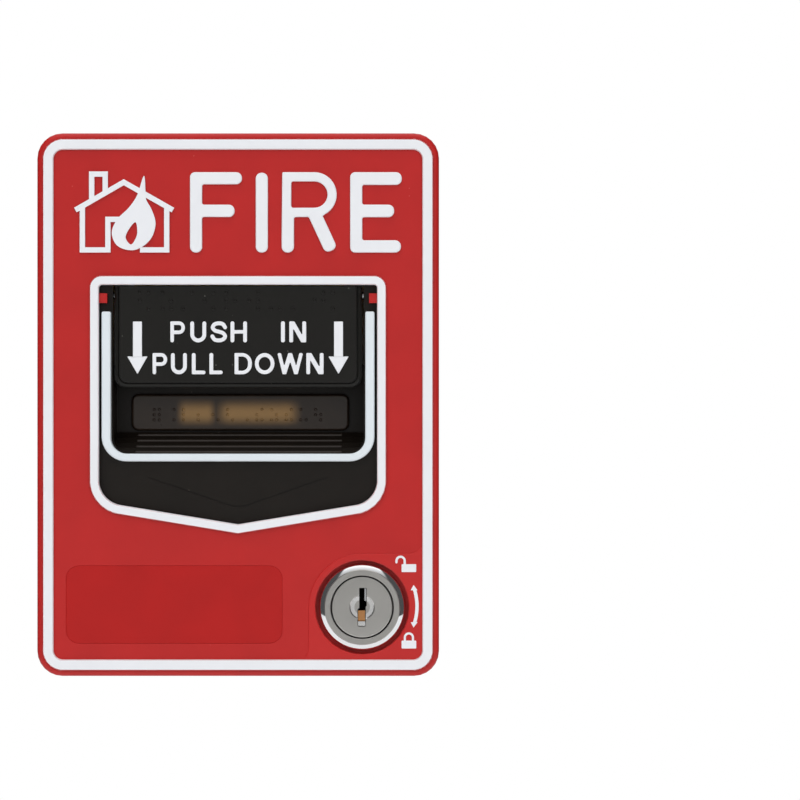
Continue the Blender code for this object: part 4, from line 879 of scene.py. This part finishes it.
# ---- lock -------------------------------------------------------------------------------------------
def lock():
    low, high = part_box("lock_body")
    front_d, back_d = -low.y, -high.y
    flange_d = front_d - 2.6 * MM
    bore, barrel, flange, ring = 8.2 * MM, 9.3 * MM, 11.15 * MM, 9.75 * MM
    profile = [(bore, back_d), (bore, front_d - 0.25 * MM), (ring - 0.2 * MM, front_d - 0.25 * MM),
               (ring + 0.04 * MM, front_d - 0.12 * MM), (ring + 0.5 * MM, front_d - 0.28 * MM),
               (ring + 0.95 * MM, front_d - 0.5 * MM), (flange - 0.12 * MM, front_d - 0.72 * MM),
               (flange, front_d - 0.9 * MM), (flange, flange_d), (barrel, flange_d)]
    d = flange_d - 1.2 * MM
    while d > back_d + 0.9 * MM:
        profile += [(barrel, d), (barrel - 0.32 * MM, d - 0.45 * MM)]
        d -= 0.9 * MM
    profile += [(barrel - 0.3 * MM, back_d)]
    piece = revolved("lock_body_finished", profile, (LOCK_X, LOCK_Z), segments=96, closed=True)
    fitted(piece, "cover", CHROME, "lock_body", smooth=25)
    near, far = bore + 0.02 * MM, ring - 0.02 * MM
    face = [(near, front_d - 0.3 * MM), (near, front_d - 0.08 * MM), (near + 0.08 * MM, front_d),
            (far - 0.13 * MM, front_d), (far, front_d - 0.1 * MM), (far, front_d - 0.3 * MM)]
    fitted(revolved("lock_ring", face, (LOCK_X, LOCK_Z), segments=96, closed=True), "cover", SATIN)

    low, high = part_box("lock_plug")
    face_d, back = -low.y, -high.y
    r, dish = 7.9 * MM, 3.2 * MM
    profile = [(r, back), (r, face_d - 0.35 * MM), (r - 0.1 * MM, face_d - 0.1 * MM),
               (r - 0.35 * MM, face_d), (dish + 0.15 * MM, face_d), (dish, face_d - 0.05 * MM),
               (dish - 0.25 * MM, face_d - 0.3 * MM), (dish - 0.4 * MM, face_d - 0.38 * MM)]
    plug = revolved("lock_plug_finished", profile, (LOCK_X, LOCK_Z), segments=96)
    slot_shape = softened(millimetres([
        (-1.2, -5.0, 0.4), (0.95, -5.0, 0.4), (0.95, 0.1, 0.1), (1.2, 0.4, 0.1), (1.2, 5.0, 0.2),
        (-0.75, 5.0, 0.2), (-0.75, -0.2, 0.1), (-1.2, -0.6, 0.1)]), 4)
    slot_shape = [(LOCK_X + u, LOCK_Z + v) for u, v in slot_shape]
    deep = face_d - 15.9 * MM

    def keyway():
        return lofted("keyway", [[front(u, v, w) for u, v in slot_shape] for w in (deep, face_d + MM)])

    boolean(plug, keyway())
    fitted(plug, "plug", SATIN, "lock_plug")
    cone = [(dish - 0.02 * MM, face_d - 0.06 * MM), (dish - 0.25 * MM, face_d - 0.28 * MM),
            (dish - 1.2 * MM, face_d - 0.34 * MM), (dish - 1.2 * MM, face_d - 0.6 * MM),
            (dish - 0.02 * MM, face_d - 0.6 * MM)]
    ring_piece = revolved("keyway_dish", cone, (LOCK_X, LOCK_Z), segments=64, closed=True)
    boolean(ring_piece, keyway())
    fitted(ring_piece, "plug", BRIGHT)
    # Painted shade: a black lining down the keyway walls and a black floor at its end stand for the shade
    # inside the slot.
    tight = inset(slot_shape, 0.09 * MM)
    mouth = face_d - 0.7 * MM
    tube = ((slot_shape, deep), (slot_shape, mouth), (tight, mouth), (tight, deep))
    loops = [[front(u, v, w) for u, v in shape] for shape, w in tube]
    fitted(lofted("keyway_shade_liner", loops + loops[:1], closed=True), "plug", KEYWAY_SHADE)
    floor = [[front(u, v, w) for u, v in tight] for w in (deep, deep + 0.4 * MM)]
    fitted(lofted("keyway_shade_floor", floor), "plug", KEYWAY_SHADE)
    for name, x0, x1, z0, z1, sink, look in (("keyway_wafer", -1.15, 0.85, -3.55, -0.85, 1.0, BRASS),
                                             ("keyway_foot", -1.15, 0.9, -4.85, -3.65, 0.45, BRIGHT),
                                             ("keyway_ward", 0.55, 1.15, 1.6, 4.9, 0.7, STEEL)):
        block = round_rect(LOCK_X + x0 * MM, LOCK_X + x1 * MM, LOCK_Z + z0 * MM, LOCK_Z + z1 * MM,
                           0.18 * MM, 3)
        piece = raised(name, [block], face_d - 6 * MM, face_d - sink * MM, 0.12 * MM, steps=2)
        fitted(piece, "plug", look)

    low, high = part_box("lock_nut")
    flats = (high.x - low.x) / 2
    nut = softened([(LOCK_X + flats * math.cos(a), LOCK_Z + flats * math.sin(a), 0.5 * MM)
                    for a in (math.radians(60 * k) for k in range(6))])
    outlines = [nut, circle(LOCK_X, LOCK_Z, 9.65 * MM, 64)]
    fitted(raised("lock_nut_finished", outlines, -high.y, -low.y, 0.3 * MM, both=True), "cover", ZINC,
           "lock_nut")


# ---- small turned parts -----------------------------------------------------------------------------
def screw(node, body, look, head_h, shank_r, head_faces=1, facing=front, slotted=False):
    """A machine screw with a domed head and a cross recess, or a slot, in the place of a CAD screw."""
    low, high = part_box(node)
    if facing is front:
        centre = ((low.x + high.x) / 2, (low.z + high.z) / 2)
        ends = (-high.y, -low.y)
    else:
        centre = ((low.x + high.x) / 2, -(low.y + high.y) / 2)
        ends = (low.z, high.z)
    head_r = (high.x - low.x) / 2
    tip, crown = ends if head_faces > 0 else ends[::-1]
    way = 1 if crown > tip else -1
    under = crown - way * head_h
    pitch = 0.4 * MM
    profile = [(shank_r * 0.55, tip), (shank_r * 0.8, tip + way * 0.25 * MM)]
    turns = max(1, int((abs(under - tip) - 0.5 * MM) / pitch))
    for k in range(turns):
        start = tip + way * (0.3 * MM + k * pitch)
        profile += [(shank_r, start), (shank_r * 0.82, start + way * pitch * 0.5)]
    profile += [(shank_r * 0.9, under), (head_r * 0.97, under), (head_r, under + way * head_h * 0.1),
                (head_r, under + way * head_h * 0.42), (head_r * 0.93, under + way * head_h * 0.66),
                (head_r * 0.78, under + way * head_h * 0.86), (head_r * 0.55, crown)]
    piece = revolved(node + "_finished", profile, centre, facing, 24)
    arm, thin = head_r * 0.62, head_r * 0.12
    cu, cv = centre
    if slotted:
        arm = head_r * 1.2
        plus = [(-arm, -thin), (arm, -thin), (arm, thin), (-arm, thin)]
    else:
        plus = [(arm, -thin), (arm, thin), (thin, thin), (thin, arm), (-thin, arm), (-thin, thin),
                (-arm, thin), (-arm, -thin), (-thin, -thin), (-thin, -arm), (thin, -arm), (thin, -thin)]
    spin = math.radians(sum(map(ord, node)) % 90)
    c, s = math.cos(spin), math.sin(spin)
    plus = [(u * c - v * s, u * s + v * c) for u, v in plus]
    levels = ((0.75, crown - way * head_h * 0.55), (1.0, crown), (1.2, crown + way * MM))
    loops = [[facing(cu + u * grow, cv + v * grow, w) for u, v in plus] for grow, w in levels]
    boolean(piece, lofted("recess", loops))
    fitted(piece, body, look, node, smooth=40)


def pin(node, body, facing, head=False):
    """A round pin with chamfered ends, read from its CAD node's box."""
    low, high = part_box(node)
    spans = {side: ((-high.y, -low.y), (low.z, high.z), (low.x, high.x)),
             upward: ((low.x, high.x), (-high.y, -low.y), (low.z, high.z)),
             front: ((low.x, high.x), (low.z, high.z), (-high.y, -low.y))}[facing]
    (u0, u1), (v0, v1), (w0, w1) = spans
    r = (u1 - u0) / 2
    chamfer = min(0.3 * MM, r * 0.35)
    if head:
        shank = 1.0 * MM
        tall = 0.9 * MM
        profile = [(shank - chamfer, w0), (shank, w0 + chamfer), (shank, w1 - tall), (r * 0.95, w1 - tall),
                   (r, w1 - tall * 0.8), (r, w1 - tall * 0.35), (r * 0.7, w1)]
    else:
        profile = [(r - chamfer, w0), (r, w0 + chamfer), (r, w1 - chamfer), (r - chamfer, w1)]
    piece = revolved(node + "_finished", profile, ((u0 + u1) / 2, (v0 + v1) / 2), facing, 32)
    fitted(piece, body, STEEL, node)


def coil(node, radius, wire_r, turns, facing, dead=1.0):
    """A wound spring with closed end turns, between the ends of its CAD node."""
    low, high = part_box(node)
    if facing is upward:
        centre = ((low.x + high.x) / 2, -(low.y + high.y) / 2)
        w0, w1 = low.z + wire_r, high.z - wire_r
    else:
        centre = (-(low.y + high.y) / 2, (low.z + high.z) / 2)
        w0, w1 = low.x + wire_r, high.x - wire_r
    per = 24
    total = turns + 2 * dead
    closed_rise = 2 * wire_r * dead
    points = []
    for k in range(int(total * per) + 1):
        t = k / per
        if t < dead:
            w = w0 + closed_rise * t / dead
        elif t > total - dead:
            w = w1 - closed_rise * (total - t) / dead
        else:
            w = w0 + closed_rise + (w1 - w0 - 2 * closed_rise) * (t - dead) / turns
        a = 2 * math.pi * t
        points.append(facing(centre[0] + radius * math.cos(a), centre[1] + radius * math.sin(a), w))
    return wire(node + "_finished", points, wire_r)


def wire(name, points, radius):
    """A round wire along points."""
    curve = bpy.data.curves.new(name, "CURVE")
    curve.dimensions = "3D"
    curve.bevel_depth = radius
    curve.bevel_resolution = 2
    curve.use_fill_caps = True
    spline = curve.splines.new("POLY")
    spline.points.add(len(points) - 1)
    for knot, co in zip(spline.points, points):
        knot.co = (*co, 1)
    thing = bpy.data.objects.new(name, curve)
    bpy.context.scene.collection.objects.link(thing)
    activate(thing)
    bpy.ops.object.convert(target="MESH")
    bpy.ops.object.mode_set(mode="EDIT")
    bpy.ops.mesh.select_all(action="SELECT")
    bpy.ops.mesh.remove_doubles(threshold=FINE)
    bpy.ops.mesh.normals_make_consistent(inside=False)
    bpy.ops.object.mode_set(mode="OBJECT")
    return bpy.context.object


def springs():
    for where in ("left", "right"):
        node = f"return_spring_{where}"
        piece = fitted(coil(node, 2.2 * MM, 0.3 * MM, 7, upward), "cover", STEEL, node, smooth=60)
        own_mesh(piece)
    piece = coil("plate_spring", 1.65 * MM, 0.25 * MM, 6, side)
    fitted(piece, "push_plate", STEEL, "plate_spring", smooth=60)


def hardware():
    edged = (
        ("back_plate", "wall", ZINC, 0.25), ("upper_hinge_wall_leaf", "wall", ZINC, 0.12),
        ("lower_hinge_wall_leaf", "wall", ZINC, 0.12), ("upper_hinge_cover_leaf", "cover", ZINC, 0.12),
        ("lower_hinge_cover_leaf", "cover", ZINC, 0.12), ("terminal_block", "wall", GREY, 0.25),
        ("strike_bracket", "wall", ZINC, 0.2), ("carrier", "cover", BLACK, 0.25),
        ("activated_flag", "cover", YELLOW, 0.15), ("microswitch_body", "cover", GREY, 0.3),
        ("lock_cam", "plug", ZINC, 0.2), ("latch_pawl", "pawl", ZINC, 0.15))
    for node, body, look, width in edged:
        fitted(bevelled(cleaned_copy(node), width * MM, 2), body, look, node)
    for k in range(1, 5):
        node = f"terminal_clamp_{k}"
        fitted(bevelled(cleaned_copy(node), 0.15 * MM, 2), "wall", BRASS, node)
        screw(f"terminal_screw_{k}", "wall", ZINC, 1.9 * MM, 1.2 * MM, slotted=True)
    for which in ("common", "open", "closed"):
        node = f"switch_blade_{which}"
        fitted(bevelled(cleaned_copy(node), 0.08 * MM, 2), "cover", BRASS, node)
    for where in ("upper", "lower"):
        pin(f"{where}_hinge_pin", "wall", upward, head=True)
        for k in (1, 2):
            screw(f"{where}_hinge_screw_{k}", "wall", ZINC, 1.0 * MM, 0.9 * MM)
        for across in ("left", "right"):
            screw(f"carrier_screw_{where}_{across}", "cover", ZINC, 1.7 * MM, 1.3 * MM, head_faces=-1)
    for across in ("left", "right"):
        screw(f"block_screw_{across}", "wall", ZINC, 1.5 * MM, 1.1 * MM)
        screw(f"flag_screw_{across}", "cover", ZINC, 1.0 * MM, 0.8 * MM, head_faces=-1)
        screw(f"switch_screw_{across}", "cover", ZINC, 0.7 * MM, 1.2 * MM, facing=upward)
        node = f"spring_guide_{across}"
        pin(node, "cover", upward)
    for k in (1, 2):
        screw(f"strike_screw_{k}", "wall", ZINC, 1.1 * MM, 1.0 * MM)
    screw("ground_screw", "wall", GREEN, 1.8 * MM, 1.4 * MM)
    screw("cam_screw", "plug", ZINC, 1.7 * MM, 1.5 * MM, head_faces=-1)
    pin("pawl_pin", "cover", side)
    pin("push_pivot_pin", "handle", side)
    low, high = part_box("switch_plunger")
    r = (high.x - low.x) / 2
    tip, tail = -low.y, -high.y
    profile = [(r, tail), (r, tip - 1.0 * MM), (r * 0.96, tip - 0.6 * MM), (r * 0.8, tip - 0.25 * MM),
               (r * 0.45, tip)]
    centre = ((low.x + high.x) / 2, (low.z + high.z) / 2)
    piece = revolved("switch_plunger_finished", profile, centre, segments=32)
    fitted(piece, "plunger", BUTTON, "switch_plunger", smooth=60)


# ---- studio -----------------------------------------------------------------------------------------
def studio():
    bpy.ops.object.select_all(action="DESELECT")
    bpy.ops.mesh.primitive_circle_add(vertices=96, radius=1.3, fill_type="NGON", location=(0, 0, -0.32))
    floor = bpy.context.object
    floor.name = "floor"
    pale = bpy.data.materials.new("pale_floor")
    pale.use_nodes = True
    pale.node_tree.nodes["Principled BSDF"].inputs["Base Color"].default_value = (0.9, 0.9, 0.9, 1)
    pale.node_tree.nodes["Principled BSDF"].inputs["Roughness"].default_value = 0.8
    floor.data.materials.append(pale)

    target = Vector((0, -0.02, 0))
    lamps = (("key", (-0.75, -1.5, 0.95), 0.9, 10.2), ("fill", (0.9, -1.5, 0.35), 0.9, 6.0),
             ("top", (0.0, -0.35, 1.4), 0.7, 4.5), ("back", (0.3, 1.4, 0.9), 0.9, 8))
    for name, place, size, energy in lamps:
        turn = (target - Vector(place)).to_track_quat("-Z", "Y").to_euler()
        bpy.ops.object.light_add(type="AREA", location=place, rotation=turn)
        lamp = bpy.context.object
        lamp.name = name
        lamp.data.size = size
        lamp.data.energy = energy
        lamp.visible_glossy = False

    world = bpy.data.worlds.new("white_room")
    bpy.context.scene.world = world
    world.use_nodes = True
    nodes, links = world.node_tree.nodes, world.node_tree.links
    nodes.clear()
    out = nodes.new("ShaderNodeOutputWorld")
    place = nodes.new("ShaderNodeTexCoord")
    split = nodes.new("ShaderNodeSeparateXYZ")
    links.new(place.outputs["Generated"], split.inputs["Vector"])

    def math_node(operation, first, second):
        made = nodes.new("ShaderNodeMath")
        made.operation = operation
        links.new(first, made.inputs[0])
        if isinstance(second, float):
            made.inputs[1].default_value = second
        else:
            links.new(second, made.inputs[1])
        return made.outputs[0]

    def ramp(source, start, end, low, high):
        made = nodes.new("ShaderNodeMapRange")
        for name, value in (("From Min", start), ("From Max", end), ("To Min", low), ("To Max", high)):
            made.inputs[name].default_value = value
        links.new(source, made.inputs["Value"])
        return made.outputs["Result"]

    middle = ramp(math_node("MULTIPLY", split.outputs["X"], split.outputs["X"]), 0.14, 0.19, 1.0, 0.0)
    upwards = ramp(split.outputs["Z"], 0.5, 0.8, 0.44, 1.25)
    strength = math_node("ADD", math_node("MULTIPLY", middle, upwards), 0.08)
    room = nodes.new("ShaderNodeBackground")
    links.new(strength, room.inputs["Strength"])
    seen = nodes.new("ShaderNodeBackground")
    seen.inputs["Color"].default_value = (1, 1, 1, 1)
    room.inputs["Color"].default_value = (1, 1, 1, 1)
    rays = nodes.new("ShaderNodeLightPath")
    mix = nodes.new("ShaderNodeMixShader")
    links.new(rays.outputs["Is Camera Ray"], mix.inputs["Fac"])
    links.new(room.outputs[0], mix.inputs[1])
    links.new(seen.outputs[0], mix.inputs[2])
    links.new(mix.outputs[0], out.inputs["Surface"])
    bpy.context.scene.view_settings.view_transform = "Standard"

    lens, shown = 170, 206.7 * MM
    away = lens * shown / 36
    place = (41.9 * MM, -BAND_D - away, 1.2 * MM)
    bpy.ops.object.camera_add(location=place, rotation=(math.pi / 2, 0, 0))
    camera = bpy.context.object
    camera.data.lens = lens
    camera.data.clip_start = 0.01
    bpy.context.scene.camera = camera


# ---- everything -------------------------------------------------------------------------------------
cover()
band("border_band", border, BORDER_W)
band("window_band", window, WINDOW_W)
fire_letters()
burning_house()
label_seat()
lock_pad()
push_plate()
handle_words()
amber_d = handle()
trim()
plate_cells = dot_cells(7, (-25.4, -19.5, -14.2, -8.6, -3.0, 2.9, 8.6, 14.3, 19.8, 24.6),
                        (29.0, 26.9, 24.8), 2.25, 0.42)
dots("plate_dots", plate_cells, 0.5 * MM, PLATE_D, 0.28 * MM, "push_plate", PLATE)
amber_cells = dot_cells(4, [-22.6 + 3.85 * k for k in range(12)], (-1.3, -2.65, -4.0), 1.35, 0.5)
dots("amber_dots", amber_cells, 0.42 * MM, amber_d, 0.25 * MM, "handle", AMBER_WITH_PAINTED_GLOW)
lock()
springs()
hardware()
studio()
